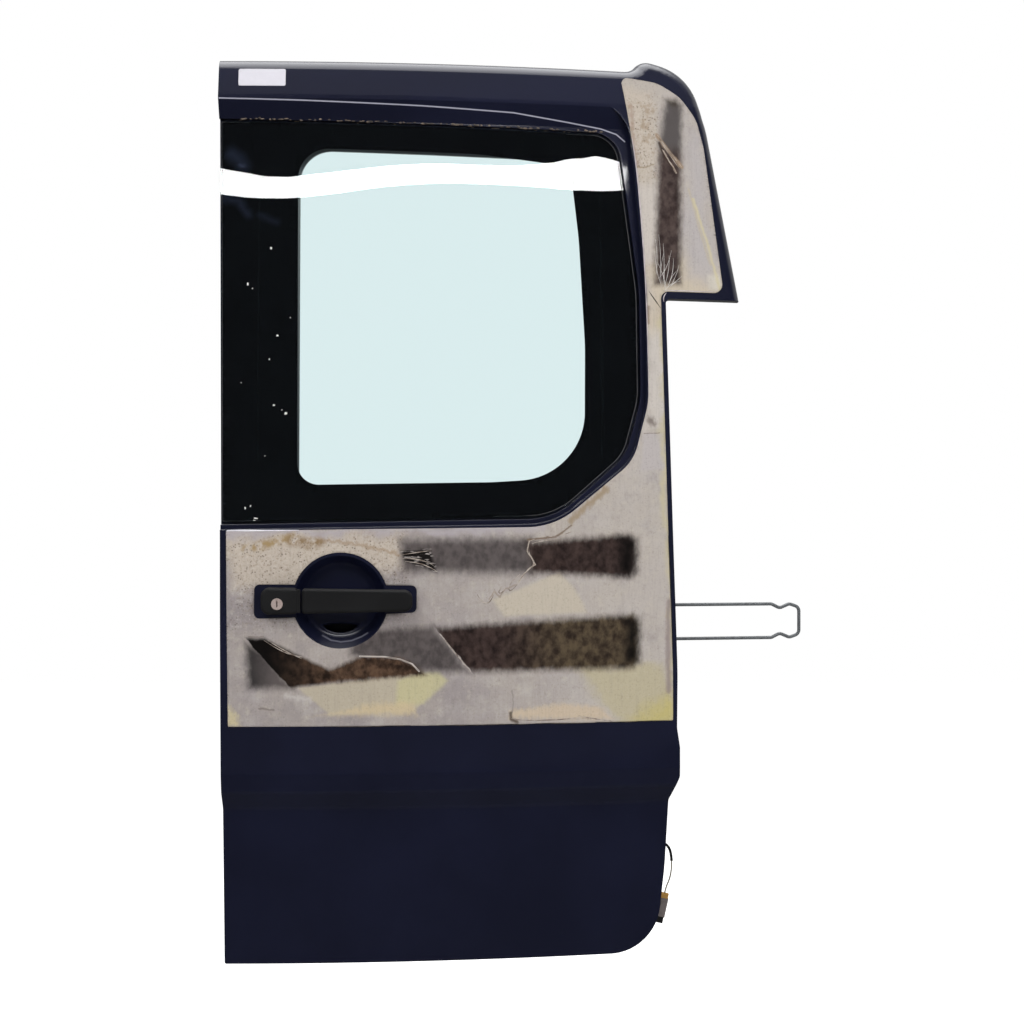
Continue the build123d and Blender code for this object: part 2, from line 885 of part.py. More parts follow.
def pad_holes(z):
    """Pair of bolt holes of a hinge pad."""
    x, y, z = pad_point(z)
    length = 3 * pad_t
    start = x - length + 1
    half = pad_hole_spacing / 2
    low = rod("x", pad_hole_radius, (start, y, z - half), length)
    return low + rod("x", pad_hole_radius, (start, y, z + half), length)


def make_hinge_pad(z):
    """Flat bolting pad that stands on the frame's hinge-side wall."""
    x, y, z = pad_point(z)
    pad = block(x - 3 * pad_t, x, y - pad_d / 2, y + pad_d / 2, z - pad_h / 2, z + pad_h / 2)
    pad = fillet(pad.edges().filter_by(Axis.X), pad_corner)
    return pad - prism(inset_loop(main_outline(), frame_inset)) - pad_holes(z)


def check_frame():
    """Local frame of the door check: on the hinge-side wall, X out along the wire."""
    x = wall_x(check_z)
    return Pos(x, place(skin_profile, x, check_z) + check_depth, check_z) * Rot(0, 0, check_tilt)


def check_slot(gap):
    """Passage of the check wire, in the check's frame."""
    z = check_half + check_wire_radius + gap
    y = check_wire_radius + gap
    return block(-2 * guide_l, guide_l, -y, y, -z, z)


def make_check_wire():
    """Hairpin of round wire with a waisted outer end and a stop across its inner ends."""
    inner = -frame_t - guide_l - check_stop_gap - check_stop_t
    taper = 2 * check_half - 2 * check_neck_half
    half = [
        (inner, check_half),
        (check_neck - taper, check_half),
        (check_neck, check_neck_half),
        (check_bulb, check_half),
        (check_end, check_end_half),
    ]
    points = [(x, 0, z) for x, z in half] + [(x, 0, -z) for x, z in reversed(half)]
    path = FilletPolyline(*points, radius=check_bend)
    section = Plane(origin=points[0], z_dir=(1, 0, 0)) * Circle(check_wire_radius)
    wire = sweep(section, path=path)
    stop = block(
        inner, inner + check_stop_t, -check_stop_d / 2, check_stop_d / 2,
        -check_stop_h / 2, check_stop_h / 2,
    )
    return check_frame() * (wire + stop)


def make_check_guide():
    """Guide box of the check wire, inside the wall, with room for its rollers."""
    box = block(-frame_t - guide_l, guide_l, -guide_d / 2, guide_d / 2, -guide_h / 2, guide_h / 2)
    box -= check_slot(check_fit)
    middle = -frame_t - guide_l / 2
    room = roller_radius + roller_gap
    box -= block(
        middle - room, middle + room, -roller_l / 2 - roller_gap, roller_l / 2 + roller_gap,
        -check_half, check_half,
    )
    for z in roller_heights():
        box -= rod("y", roller_pin_radius + check_fit, (middle, -guide_d, z), 2 * guide_d)
    inner = prism(inset_loop(main_outline(), frame_inset + frame_t))
    return (check_frame() * box) & inner


def roller_heights():
    """Heights of the two rollers, just inside the legs of the wire."""
    z = check_half - check_wire_radius - seat_gap - roller_radius
    return (-z, z)


def make_check_rollers():
    """Two rollers on their pins."""
    middle = -frame_t - guide_l / 2
    rollers = []
    for z in roller_heights():
        roller = rod("y", roller_radius, (middle, -roller_l / 2, z), roller_l)
        roller += rod("y", roller_pin_radius, (middle, -guide_d / 2, z), guide_d)
        rollers.append((check_frame() * roller).solids()[0])
    return Compound(children=rollers)


def make_check_plate():
    """Outer plate of the check, on the frame's hinge-side wall."""
    x = wall_x(check_z)
    y = place(skin_profile, x, check_z) + check_depth
    plate = block(
        x - 2 * check_plate_t, x + check_plate_t, y - check_plate_d / 2, y + check_plate_d / 2,
        check_z - check_plate_h / 2, check_z + check_plate_h / 2,
    )
    plate = fillet(plate.edges().filter_by(Axis.X), check_plate_corner)
    plate -= prism(inset_loop(main_outline(), frame_inset))
    return plate - check_frame() * check_slot(check_slot_gap)


def harness_start(x_shift):
    """Point on the axis of the wiring exit, a distance outside the frame's wall."""
    x = wall_x(harness_z)
    return (x + x_shift, place(skin_profile, x, harness_z) + harness_depth, harness_z)


def make_grommet():
    """Rubber grommet in the wall, round the sheath."""
    outer = rod("x", grommet_radius, harness_start(-frame_t), grommet_proud + frame_t)
    outer = chamfer(outer.faces().sort_by(Axis.X)[-1].edges(), grommet_proud / 2)
    outer -= prism(inset_loop(main_outline(), frame_inset))
    inner = rod("x", grommet_radius, harness_start(-3 * frame_t), 3 * frame_t)
    inner &= prism(inset_loop(main_outline(), frame_inset + frame_t + seat_gap))
    stem = rod("x", grommet_groove - seat_gap, harness_start(-3 * frame_t), 3 * frame_t + grommet_proud / 2)
    return outer + inner + stem


# Route of the wiring tail, from the grommet's face, as steps in X and Z
harness_steps = [(0, 0), (11, 0), (19.5, -7), (23, -20), (23.7, -38), (20.7, -56), (14.7, -69), (12.7, -78)]
sheath_points = 4


def harness_points():
    """Route of the wiring tail in space."""
    x, y, z = harness_start(grommet_proud)
    return [Vector(x + dx, y, z + dz) for dx, dz in harness_steps]


def cord_tube(points, radius):
    """Tube along straight runs with arcs as large as the runs allow."""
    radii = []
    for before, here, after in zip(points, points[1:], points[2:]):
        turn = math.radians((here - before).get_angle(after - here))
        run = min((here - before).length, (after - here).length)
        radii.append(0.45 * run / math.tan(turn / 2))
    path = FilletPolyline(*points, radius=radii)
    section = Plane(origin=points[0], z_dir=points[1] - points[0]) * Circle(radius)
    return sweep(section, path=path)


def sheath_end():
    """Point half way along the run where the sheath stops."""
    points = harness_points()
    return (points[sheath_points - 1] + points[sheath_points]) / 2


def make_sheath():
    """Sheathed part of the wiring tail."""
    return cord_tube(harness_points()[:sheath_points] + [sheath_end()], sheath_radius)


def make_wire():
    """Bare wire from the sheath to the plug."""
    return cord_tube([sheath_end()] + harness_points()[sheath_points:], wire_radius)


def plug_frame():
    """Local frame of the plug: at the wire's end, with Z back along the wire."""
    before, end = harness_points()[-2:]
    tilt = math.degrees(math.atan2(before.X - end.X, before.Z - end.Z))
    return Pos(end) * Rot(0, tilt, 0)


def plug_length(below, height, step):
    """One length of the plug, a distance below the wire's end, stepped in from its body."""
    half_w = plug_w / 2 - step
    half_d = plug_d / 2 - step
    top = -seat_gap - below
    shape = block(-half_w, half_w, -half_d, half_d, top - height, top)
    return fillet(shape.edges().filter_by(Axis.Z), plug_corner)


def make_plug_band():
    """Band round the top of the plug."""
    return plug_frame() * plug_length(0, plug_band_h, plug_step)


def make_plug_body():
    """Body of the plug with its locking tab."""
    body = plug_length(plug_band_h, plug_body_h, 0)
    middle = -seat_gap - plug_band_h - plug_body_h / 2
    front = -plug_d / 2
    body += block(
        -plug_tab_w / 2, plug_tab_w / 2, front - plug_tab_t, front + plug_tab_t,
        middle - plug_tab_h / 2, middle + plug_tab_h / 2,
    )
    return plug_frame() * body


def make_plug_cap():
    """End cap of the plug."""
    return plug_frame() * plug_length(plug_band_h + plug_body_h, plug_cap_h, plug_step)


def drain_point(x, below):
    """Point under the frame's bottom wall at a drain hole."""
    return (x, place(skin_profile, x, frame_inset) + pad_depth, frame_inset + below)


def make_drain_plugs():
    """Rubber plugs in the bottom wall."""
    plugs = []
    for x in drain_places:
        plug = rod("z", drain_radius, drain_point(x, -drain_t), drain_t)
        plug += rod("z", drain_radius - drain_t - seat_gap, drain_point(x, 0), 2 * frame_t)
        plugs.append(plug.solids()[0])
    return Compound(children=plugs)


def build():
    """Every piece of the door by name."""
    inside = panel_body(skin_t + seat_gap)
    return {
        "outer_skin": make_skin(),
        "inner_frame": make_frame(),
        "horn_backing": make_horn_backing(),
        "window_glass": make_glass(),
        "window_bond_bead": make_bead(),
        "window_trim": make_window_trim(),
        "trim_panel": make_trim_panel(),
        "trim_clips": make_trim_clips(),
        "handle_carrier": make_carrier(inside),
        "handle_lever": make_lever(),
        "handle_pin": make_pin(),
        "handle_gasket": make_gasket(),
        "lock_cover": make_lock_cover(),
        "lock_barrel": make_barrel(),
        "latch_case": make_latch_case(),
        "latch_claw": make_latch_claw(),
        "hinge_pad_upper": make_hinge_pad(pad_upper_z),
        "hinge_pad_lower": make_hinge_pad(pad_lower_z),
        "check_plate": make_check_plate(),
        "check_guide": make_check_guide(),
        "check_rollers": make_check_rollers(),
        "check_wire": make_check_wire(),
        "harness_grommet": make_grommet(),
        "harness_sheath": make_sheath(),
        "harness_wire": make_wire(),
        "connector_band": make_plug_band(),
        "connector_body": make_plug_body(),
        "connector_cap": make_plug_cap(),
        "drain_plugs": make_drain_plugs(),
    }


def main():
    """Write each piece with the origin on the lower hinge pad's face."""
    os.makedirs("parts", exist_ok=True)
    x, y, z = pad_point(pad_lower_z)
    for name, shape in build().items():
        export_step(Pos(-x, -y, -z) * shape, f"parts/{name}.step")
    print("origin", x, y, z)


if __name__ == "__main__":
    main()
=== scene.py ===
import functools
import json
import math
import random

import bpy
import numpy as np
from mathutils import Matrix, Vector
from mathutils.bvhtree import BVHTree
from mathutils.geometry import delaunay_2d_cdt


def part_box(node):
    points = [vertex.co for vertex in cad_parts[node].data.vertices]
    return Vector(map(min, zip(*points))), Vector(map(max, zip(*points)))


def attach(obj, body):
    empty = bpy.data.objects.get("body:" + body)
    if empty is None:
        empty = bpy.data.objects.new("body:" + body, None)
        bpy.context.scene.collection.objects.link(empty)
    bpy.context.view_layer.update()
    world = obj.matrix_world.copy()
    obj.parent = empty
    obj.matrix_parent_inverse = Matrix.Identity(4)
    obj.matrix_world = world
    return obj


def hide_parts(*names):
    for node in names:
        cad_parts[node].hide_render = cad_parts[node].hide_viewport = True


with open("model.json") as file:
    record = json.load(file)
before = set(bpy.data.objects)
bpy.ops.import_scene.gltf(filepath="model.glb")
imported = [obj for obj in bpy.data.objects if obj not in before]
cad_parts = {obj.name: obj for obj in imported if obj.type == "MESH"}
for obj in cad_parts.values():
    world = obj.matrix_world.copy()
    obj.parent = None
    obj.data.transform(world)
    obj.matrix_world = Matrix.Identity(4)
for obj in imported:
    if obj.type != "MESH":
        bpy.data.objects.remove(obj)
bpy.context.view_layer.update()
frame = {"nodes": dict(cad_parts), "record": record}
nodes = frame["nodes"]

# Places on the door are in millimetres from its meeting edge and its bottom edge.
MM = 0.001
MEET_LEAN = 12.0
skin_low, skin_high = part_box("outer_skin")
MEET = skin_low.x + MEET_LEAN * MM
FOOT = skin_low.z
FRONT = skin_low.y

# Photograph's camera
CAMERA_X = 430.0
CAMERA_Z = 676.0
CAMERA_DISTANCE = 3.0
CAMERA_LENS = 71.07
CAMERA_SENSOR = 36.0
CAMERA_PLACE = Vector((MEET + CAMERA_X * MM, FRONT - CAMERA_DISTANCE, FOOT + CAMERA_Z * MM))


def rgb(red, green, blue):
    """Screen colour, 0 to 255, as linear values."""
    shares = (red / 255, green / 255, blue / 255)
    return tuple(s / 12.92 if s <= 0.04045 else ((s + 0.055) / 1.055) ** 2.4 for s in shares)


def spot(x, z, y=0.0):
    """Point of the frame at a place on the door, y behind its foremost point."""
    return Vector((MEET + x * MM, FRONT + y * MM, FOOT + z * MM))


# Meshes laid on the CAD faces


@functools.lru_cache(None)
def tree_of(node):
    """Search tree of a CAD node's mesh."""
    mesh = nodes[node].data
    points = [v.co.copy() for v in mesh.vertices]
    return BVHTree.FromPolygons(points, [tuple(p.vertices) for p in mesh.polygons])


skin_tree = tree_of("outer_skin")
glass_tree = tree_of("window_glass")
# Rays start this far off, in metres; smaller turns are straight; nearer points are one
RAY_START = 0.5
STRAIGHT = 0.01
SAME_POINT = 1e-4


def cast(tree, x, z, way):
    """Point and normal on a node at a place, found from the front (way 1) or from behind (way -1)."""
    start = spot(x, z) - Vector((0, way * RAY_START, 0))
    return tree.ray_cast(start, Vector((0, way, 0)))[:2]


def laid(tree, x, z, lift, way=1):
    """Point on a node at a place, lifted off it by millimetres."""
    hit, normal = cast(tree, x, z, way)
    return hit + normal * lift * MM if hit else None


def rounded(corners, step=3.0):
    """Points along a loop of corners (x, z, radius), with arcs in short steps."""
    points = []
    count = len(corners)
    for i, (x, z, radius) in enumerate(corners):
        corner = Vector((x, z))
        before = Vector(corners[i - 1][:2]) - corner
        after = Vector(corners[(i + 1) % count][:2]) - corner
        turn = math.pi - before.angle(after)
        if radius <= 0 or turn < STRAIGHT:
            points.append((x, z))
            continue
        before.normalize()
        after.normalize()
        cut = radius * math.tan(turn / 2)
        first = corner + before * cut
        last = corner + after * cut
        middle = corner + (before + after).normalized() * (radius / math.cos(turn / 2))
        a = math.atan2(first.y - middle.y, first.x - middle.x)
        b = math.atan2(last.y - middle.y, last.x - middle.x)
        sweep = math.remainder(b - a, 2 * math.pi)
        steps = max(3, int(radius * turn / step))
        for k in range(steps + 1):
            angle = a + sweep * k / steps
            points.append((middle.x + radius * math.cos(angle), middle.y + radius * math.sin(angle)))
    return points


def divided(loop, step):
    """A loop with its long edges cut into short steps."""
    points = []
    for (x0, z0), (x1, z1) in zip(loop, loop[1:] + loop[:1]):
        cuts = max(1, round(math.hypot(x1 - x0, z1 - z0) / step))
        points += [(x0 + (x1 - x0) * k / cuts, z0 + (z1 - z0) * k / cuts) for k in range(cuts)]
    return points


def around(count):
    """Cosine and sine of even steps round a circle."""
    angles = [2 * math.pi * k / count for k in range(count)]
    return [(math.cos(a), math.sin(a)) for a in angles]


def circle(x, z, radius, count):
    """Loop of points round a centre."""
    return [(x + radius * c, z + radius * s) for c, s in around(count)]


def inside(loop, points):
    """Which of the points lie inside a loop."""
    x = points[:, 0]
    z = points[:, 1]
    found = np.zeros(len(points), bool)
    for (x0, z0), (x1, z1) in zip(loop, loop[1:] + loop[:1]):
        spans = (z0 > z) != (z1 > z)
        if z0 != z1:
            found ^= spans & (x < x0 + (z - z0) * (x1 - x0) / (z1 - z0))
    return found


def between_loops(loop, holes, points):
    """Which of the points lie inside a loop and outside its holes."""
    kept = inside(loop, points)
    for hole in holes:
        kept &= ~inside(hole, points)
    return kept


def filled(loop, holes, step):
    """Flat triangles inside a loop and outside its holes, about one step wide."""
    loops = [divided(p, step) for p in [loop] + holes]
    points = []
    edges = []
    for p in loops:
        first = len(points)
        points += p
        edges += [(first + k, first + (k + 1) % len(p)) for k in range(len(p))]
    low = np.min(loops[0], axis=0)
    high = np.max(loops[0], axis=0)
    xs = np.arange(low[0] + step / 2, high[0], step)
    zs = np.arange(low[1] + step / 2, high[1], step)
    grid = np.array([(x, z) for z in zs for x in xs])
    points += [tuple(p) for p in grid[between_loops(loop, holes, grid)]]
    made = delaunay_2d_cdt([Vector(p) for p in points], edges, [], 0, SAME_POINT)
    places = np.array([tuple(v) for v in made[0]])
    faces = np.array([tuple(f) for f in made[2]])
    return places, faces[between_loops(loop, holes, places[faces].mean(axis=1))]


def ring_faces(rings, sides, capped=True):
    """Faces between rings of points that follow one another, with both ends closed if capped."""
    pairs = [(k * sides + s, k * sides + (s + 1) % sides) for k in range(rings - 1) for s in range(sides)]
    faces = [(a, b, b + sides, a + sides) for a, b in pairs]
    if capped:
        faces.append(tuple(reversed(range(sides))))
        faces.append(tuple(range((rings - 1) * sides, rings * sides)))
    return faces


def placed(name, data):
    """New object in the scene."""
    made = bpy.data.objects.new(name, data)
    bpy.context.scene.collection.objects.link(made)
    return made


def new_piece(name, points, faces, material=None, slot=None, crease=None):
    """Mesh that rides on the door, with a slot's finish or its own; edges bent past crease are sharp."""
    mesh = bpy.data.meshes.new(name)
    mesh.from_pydata([tuple(p) for p in points], [], [tuple(f) for f in faces])
    mesh.polygons.foreach_set("use_smooth", [True] * len(mesh.polygons))
    mesh.materials.append(material or finishes[slot])
    if crease:
        mesh.set_sharp_from_angle(angle=math.radians(crease))
    mesh.update()
    piece = placed(name, mesh)
    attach(piece, "door")
    return piece


def laid_sheet(name, tree, loop, holes, lift, step, thickness, material, way=1):
    """Thin closed sheet that follows a node's face under a flat outline, sizes in millimetres."""
    places, faces = filled(loop, holes, step)
    points = [laid(tree, x, z, lift, way) for x, z in places]
    whole = [f for f in faces if all(points[i] is not None for i in f)]
    used = sorted({i for f in whole for i in f})
    order = {old: new for new, old in enumerate(used)}
    renumbered = [tuple(order[i] for i in f) for f in whole]
    piece = new_piece(name, [points[i] for i in used], renumbered, material)
    solid = piece.modifiers.new("thickness", "SOLIDIFY")
    solid.thickness = thickness * MM
    solid.offset = 1.0


# Materials


class Nodes:
    """Node tree with short calls for the nodes used here."""

    def __init__(self, tree):
        self.tree = tree

    def node(self, kind, *values, **settings):
        """New node with its settings and the values of its first inputs."""
        made = self.tree.nodes.new("ShaderNode" + kind)
        for key, value in settings.items():
            setattr(made, key, value)
        for i, value in enumerate(values):
            self.put(made, i, value)
        return made

    def put(self, node, key, value):
        """Set an input, or link it where the value is a socket."""
        socket = node.inputs[key]
        if isinstance(value, bpy.types.NodeSocket):
            self.tree.links.new(value, socket)
        elif socket.type == "RGBA" and len(value) == 3:
            socket.default_value = (*value, 1.0)
        else:
            socket.default_value = value

    def math(self, operation, *values):
        """Result of one operation on sockets or numbers."""
        return self.node("Math", *values, operation=operation).outputs[0]

    def ramp(self, value, low, high, start=0.0, end=1.0):
        """Smooth step of a value from low to high."""
        made = self.node("MapRange", value, low, high, start, end, interpolation_type="SMOOTHSTEP")
        return made.outputs[0]


class Graph(Nodes):
    """Node tree of one material, with noise in millimetres."""

    def __init__(self, name, **finish):
        self.material = bpy.data.materials.new(name)
        self.material.use_nodes = True
        super().__init__(self.material.node_tree)
        self.shader = self.tree.nodes["Principled BSDF"]
        scaled = self.node("VectorMath", self.node("TexCoord").outputs["Object"], operation="SCALE")
        self.put(scaled, "Scale", 1 / MM)
        self.place = scaled.outputs[0]
        self.finish(**finish)

    def finish(self, **values):
        """Set shader inputs by their names in lower case."""
        for key, value in values.items():
            name = {"ior": "IOR", "ior_level": "Specular IOR Level", "coat_ior": "Coat IOR"}.get(key)
            self.put(self.shader, name or key.replace("_", " ").title(), value)

    def noise(self, size, detail=3.0, stretch=(1.0, 1.0, 1.0), rough=0.5, shift=0.0):
        """Noise whose lumps are about a size in millimetres."""
        mapping = self.node("Mapping", self.place, (shift, shift, shift))
        self.put(mapping, "Scale", stretch)
        made = self.node("TexNoise", mapping.outputs[0])
        self.put(made, "Scale", 1 / size)
        self.put(made, "Detail", detail)
        self.put(made, "Roughness", rough)
        return made.outputs[0]

    def cells(self, size):
        """Distance to the nearest of scattered points, in cells of a size."""
        made = self.node("TexVoronoi", self.place)
        self.put(made, "Scale", 1 / size)
        return made.outputs["Distance"]

    def mix(self, share, first, second):
        """Colour between two colours."""
        made = self.node("Mix", share, data_type="RGBA")
        self.put(made, 6, first)
        self.put(made, 7, second)
        return made.outputs[2]

    def bump(self, height, depth, strength=1.0, under=None):
        """Relief of a height share, depth in millimetres, on the shader; under is a normal below it."""
        made = self.node("Bump")
        if under:
            self.put(made, "Normal", under)
        self.put(made, "Height", height)
        self.put(made, "Distance", depth * MM)
        self.put(made, "Strength", strength)
        self.put(self.shader, "Normal", made.outputs[0])


class Marks(Graph):
    """Node tree with shapes drawn at places on the door."""

    def __init__(self, name, **finish):
        super().__init__(name, **finish)
        x, _, z = self.node("SeparateXYZ", self.place).outputs
        self.flat = (self.math("SUBTRACT", x, MEET / MM), self.math("SUBTRACT", z, FOOT / MM))

    def shaken(self, size, amount, stretch=(1.0, 1.0, 1.0), shift=0.0):
        """Places moved about by noise, so that edges drawn there are ragged."""
        moved = []
        for k, value in enumerate(self.flat):
            wave = self.noise(size, 4.0, stretch, 0.6, shift + 37.0 * k)
            centred = self.math("SUBTRACT", wave, 0.5)
            moved.append(self.math("MULTIPLY_ADD", centred, 2.0 * amount, value))
        return tuple(moved)

    def side(self, start, end, at):
        """Distance to the left of a line."""
        dx = end[0] - start[0]
        dz = end[1] - start[1]
        length = math.hypot(dx, dz)
        along = self.math("MULTIPLY_ADD", at[0], -dz / length, (dz * start[0] - dx * start[1]) / length)
        return self.math("MULTIPLY_ADD", at[1], dx / length, along)

    def patch(self, corners, soft, at):
        """Share of a convex patch, its corners anticlockwise, with soft edges."""
        depth = None
        for start, end in zip(corners, corners[1:] + corners[:1]):
            here = self.side(start, end, at)
            depth = here if depth is None else self.math("MINIMUM", depth, here)
        return self.ramp(depth, -soft, soft)

    def streak(self, points, width, soft, at=None):
        """Share of a line of a width through points, with soft edges."""
        at = at or self.flat
        nearest = None
        for (x0, z0), (x1, z1) in zip(points, points[1:]):
            reach = (x1 - x0) ** 2 + (z1 - z0) ** 2
            dx = self.math("SUBTRACT", at[0], x0)
            dz = self.math("SUBTRACT", at[1], z0)
            share = self.math("MULTIPLY", dx, (x1 - x0) / reach)
            share = self.math("MULTIPLY_ADD", dz, (z1 - z0) / reach, share)
            share = self.math("MINIMUM", self.math("MAXIMUM", share, 0.0), 1.0)
            dx = self.math("MULTIPLY_ADD", share, x0 - x1, dx)
            dz = self.math("MULTIPLY_ADD", share, z0 - z1, dz)
            square = self.math("ADD", self.both(dx, dx), self.both(dz, dz))
            here = self.math("SQRT", square)
            nearest = here if nearest is None else self.math("MINIMUM", nearest, here)
        return self.ramp(nearest, width / 2 + soft, width / 2 - soft)

    def both(self, first, second):
        """Product of two shares."""
        return self.math("MULTIPLY", first, second)


# Radius that shading gives to the pressed edges of painted sheet
EDGE_ROUND = 1.6
# Painted highlights: pale lines along the header crease and the cup's lower rim, where these edges catch
# light: points, width, softness and strength
PAINTED_HIGHLIGHT_LINES = [
    ([(-10, 1297.5), (113, 1295), (293, 1290), (432, 1284), (517, 1273), (567, 1266), (591, 1258.6),
      (604, 1248)], 1.5, 0.8, 0.85),
    ([(146, 491), (159, 484), (174, 481.5), (190, 483.5), (205, 489.5), (214, 495)], 1.6, 1.0, 0.4),
]


def shades(colour, low, high):
    """A darker and a lighter tone of a colour."""
    return tuple(low * c for c in colour), tuple(high * c for c in colour)


def paint(name, colour, coat_roughness, dirt, highlight_lines=()):
    """Solid paint under clear coat, with fine dust, faint waviness and painted highlight lines along
    creases.
    """
    g = Marks(name, roughness=0.42, coat_weight=0.85, coat_roughness=coat_roughness, coat_ior=1.5)
    g.finish(ior_level=0.3)
    cloud = g.ramp(g.noise(160.0, 4.0), 0.3, 0.7)
    shade = g.mix(cloud, *shades(colour, 0.86, 1.12))
    dust = g.ramp(g.noise(5.0, 6.0, rough=0.7), 0.62, 0.8, 0.0, dirt)
    shade = g.mix(dust, shade, rgb(120, 116, 112))
    for points, width, soft, strength in highlight_lines:
        line = g.both(g.streak(points, width, soft), strength)
        # painted highlight: pale lilac laid over the paint along each line
        shade = g.mix(line, shade, rgb(190, 190, 206))
    g.finish(base_color=shade)
    edges = g.node("Bevel", samples=4)
    g.put(edges, "Radius", EDGE_ROUND * MM)
    g.bump(g.noise(9.0, 2.0), 0.05, 0.12, edges.outputs[0])
    g.put(g.shader, "Coat Normal", edges.outputs[0])
    return g.material


def plastic(name, colour, roughness, grain=1.2, depth=0.08, worn=0.0, gloss=0.45):
    """Moulded plastic or rubber with a fine grain."""
    g = Graph(name, ior_level=gloss)
    cloud = g.noise(60.0, 4.0)
    shade = g.mix(cloud, *shades(colour, 0.75, 1.25))
    scuff = g.ramp(g.noise(14.0, 8.0, (0.3, 1.0, 1.0), 0.7), 0.6, 0.78, 0.0, worn)
    g.finish(base_color=g.mix(scuff, shade, rgb(126, 122, 118)))
    g.finish(roughness=g.ramp(cloud, 0.2, 0.8, roughness - 0.07, roughness + 0.07))
    g.bump(g.noise(grain, 2.0), depth, 0.5)
    return g.material


def metal(name, colour, roughness, stain, stain_share, bare=0.75):
    """Metal with brushing and stains; bare is the share that no dull film covers."""
    g = Graph(name, metallic=bare)
    brush = g.noise(2.0, 4.0, (0.06, 1.0, 1.0))
    shade = g.mix(brush, *shades(colour, 0.8, 1.15))
    marks = g.ramp(g.noise(9.0, 7.0, rough=0.65), 0.5, 0.72, 0.0, stain_share)
    g.finish(base_color=g.mix(marks, shade, stain))
    g.finish(roughness=g.ramp(marks, 0.0, 1.0, roughness, roughness + 0.3))
    g.bump(brush, 0.03, 0.4)
    return g.material


def glass():
    """Pale tinted pane."""
    g = Graph("pane", transmission_weight=1.0, ior=1.5, roughness=0.0)
    g.finish(base_color=rgb(226, 245, 246))
    g.bump(g.noise(180.0, 1.0), 0.35, 0.05)
    return g.material


def wavering(name, roughness, size, detail, low, high, sharp=False):
    """Node tree of a plain finish that wavers between two colours."""
    g = Graph(name, roughness=roughness)
    share = g.noise(size, detail)
    if sharp:
        share = g.ramp(share, 0.35, 0.65)
    g.finish(base_color=g.mix(share, rgb(*low), rgb(*high)))
    return g


NAVY = rgb(18, 21, 43)
STEEL = rgb(150, 150, 148)
RUST = rgb(92, 58, 38)

finishes = {
    "navy_paint": paint("navy_clearcoat", NAVY, 0.03, 0.05, PAINTED_HIGHLIGHT_LINES),
    "inner_paint": paint("navy_inner", NAVY, 0.16, 0.16),
    "tinted_glass": glass(),
    "sealant": plastic("cured_sealant", rgb(24, 24, 24), 0.62, 3.0, 0.3),
    "trim_plastic": plastic("trim_grain", rgb(150, 152, 152), 0.55, 1.6, 0.12, 0.2),
    "trim_board": plastic("board_grain", rgb(92, 92, 94), 0.72, 2.4, 0.2, 0.25),
    "clip_plastic": plastic("clip_black", rgb(42, 42, 44), 0.5, worn=0.2),
    "black_plastic": plastic("black_moulding", rgb(30, 30, 31), 0.5, worn=0.1),
    "handle_plastic": plastic("handle_grain", rgb(27, 27, 28), 0.62, 0.9, 0.06, 0.08, 0.25),
    "steel": metal("bare_steel", STEEL, 0.3, RUST, 0.35),
    "zinc_steel": metal("zinc_plate", rgb(164, 160, 148), 0.36, rgb(120, 110, 88), 0.3),
    "wire_steel": metal("spring_steel", rgb(104, 107, 110), 0.42, rgb(62, 60, 58), 0.5, 0.2),
    "lock_metal": metal("die_casting", rgb(176, 160, 154), 0.42, rgb(128, 104, 98), 0.7, 0.15),
    "black_rubber": plastic("soft_rubber", rgb(26, 26, 26), 0.75, 2.0, 0.1, 0.1),
    "roller_plastic": plastic("nylon", rgb(214, 210, 198), 0.45, 2.0, 0.04, 0.3),
    "wire_cover": plastic("wire_insulation", rgb(158, 152, 136), 0.5, 1.0, 0.03),
    "ochre_plastic": plastic("ochre_moulding", rgb(176, 132, 62), 0.5, 1.4, 0.06, 0.2),
    "grey_plastic": plastic("grey_moulding", rgb(112, 104, 102), 0.5, 1.4, 0.06, 0.8),
}
slots = {part["node"]: part["material_slot"] for part in frame["record"]["subparts"]}
for node, piece in nodes.items():
    piece.data.materials.clear()
    piece.data.materials.append(finishes[slots[node]])


# Wiring tail: the same route as the CAD tube, in millimetres from the grommet's face

ROUTE = [(0, 0), (11, 0), (19.5, -7), (23, -20), (23.7, -38), (20.7, -56), (14.7, -69), (12.7, -78)]
WIRE_DIAMETER = 2.4
SHEATH_DIAMETER = 4.5
SHEATH_INSET = 0.15
SHEATH_WEAR = 0.12
SHEATH_RIPPLE = 40


def cord_curve(name, points, diameter):
    """Round cord along a smooth open curve."""
    data = bpy.data.curves.new(name, "CURVE")
    data.dimensions = "3D"
    data.bevel_depth = diameter * MM / 2
    data.bevel_resolution = 5
    data.resolution_u = 10
    data.use_fill_caps = True
    line = data.splines.new("NURBS")
    line.points.add(len(points) - 1)
    for spline_point, place in zip(line.points, points):
        spline_point.co = (*place, 1.0)
    line.order_u = 3
    line.use_endpoint_u = True
    return placed(name, data)


def smooth_line(points):
    """Points read from the smooth curve through a route."""
    bare = cord_curve("route", points, 0.0)
    mesh = bpy.data.meshes.new_from_object(bare)
    line = [v.co.copy() for v in mesh.vertices]
    bpy.data.objects.remove(bare)
    bpy.data.meshes.remove(mesh)
    return line


def tube(line, radius_at, sides=14):
    """Points and faces of a closed tube along a line; radius_at takes a share of its length."""
    points = []
    side = Vector((0, 1, 0))
    last = len(line) - 1
    for k, here in enumerate(line):
        along = (line[min(k + 1, last)] - line[max(k - 1, 0)]).normalized()
        up = along.cross(side).normalized()
        out = up.cross(along)
        radius = radius_at(k / last) * MM
        points += [here + (up * c + out * s) * radius for c, s in around(sides)]
    return points, ring_faces(len(line), sides)


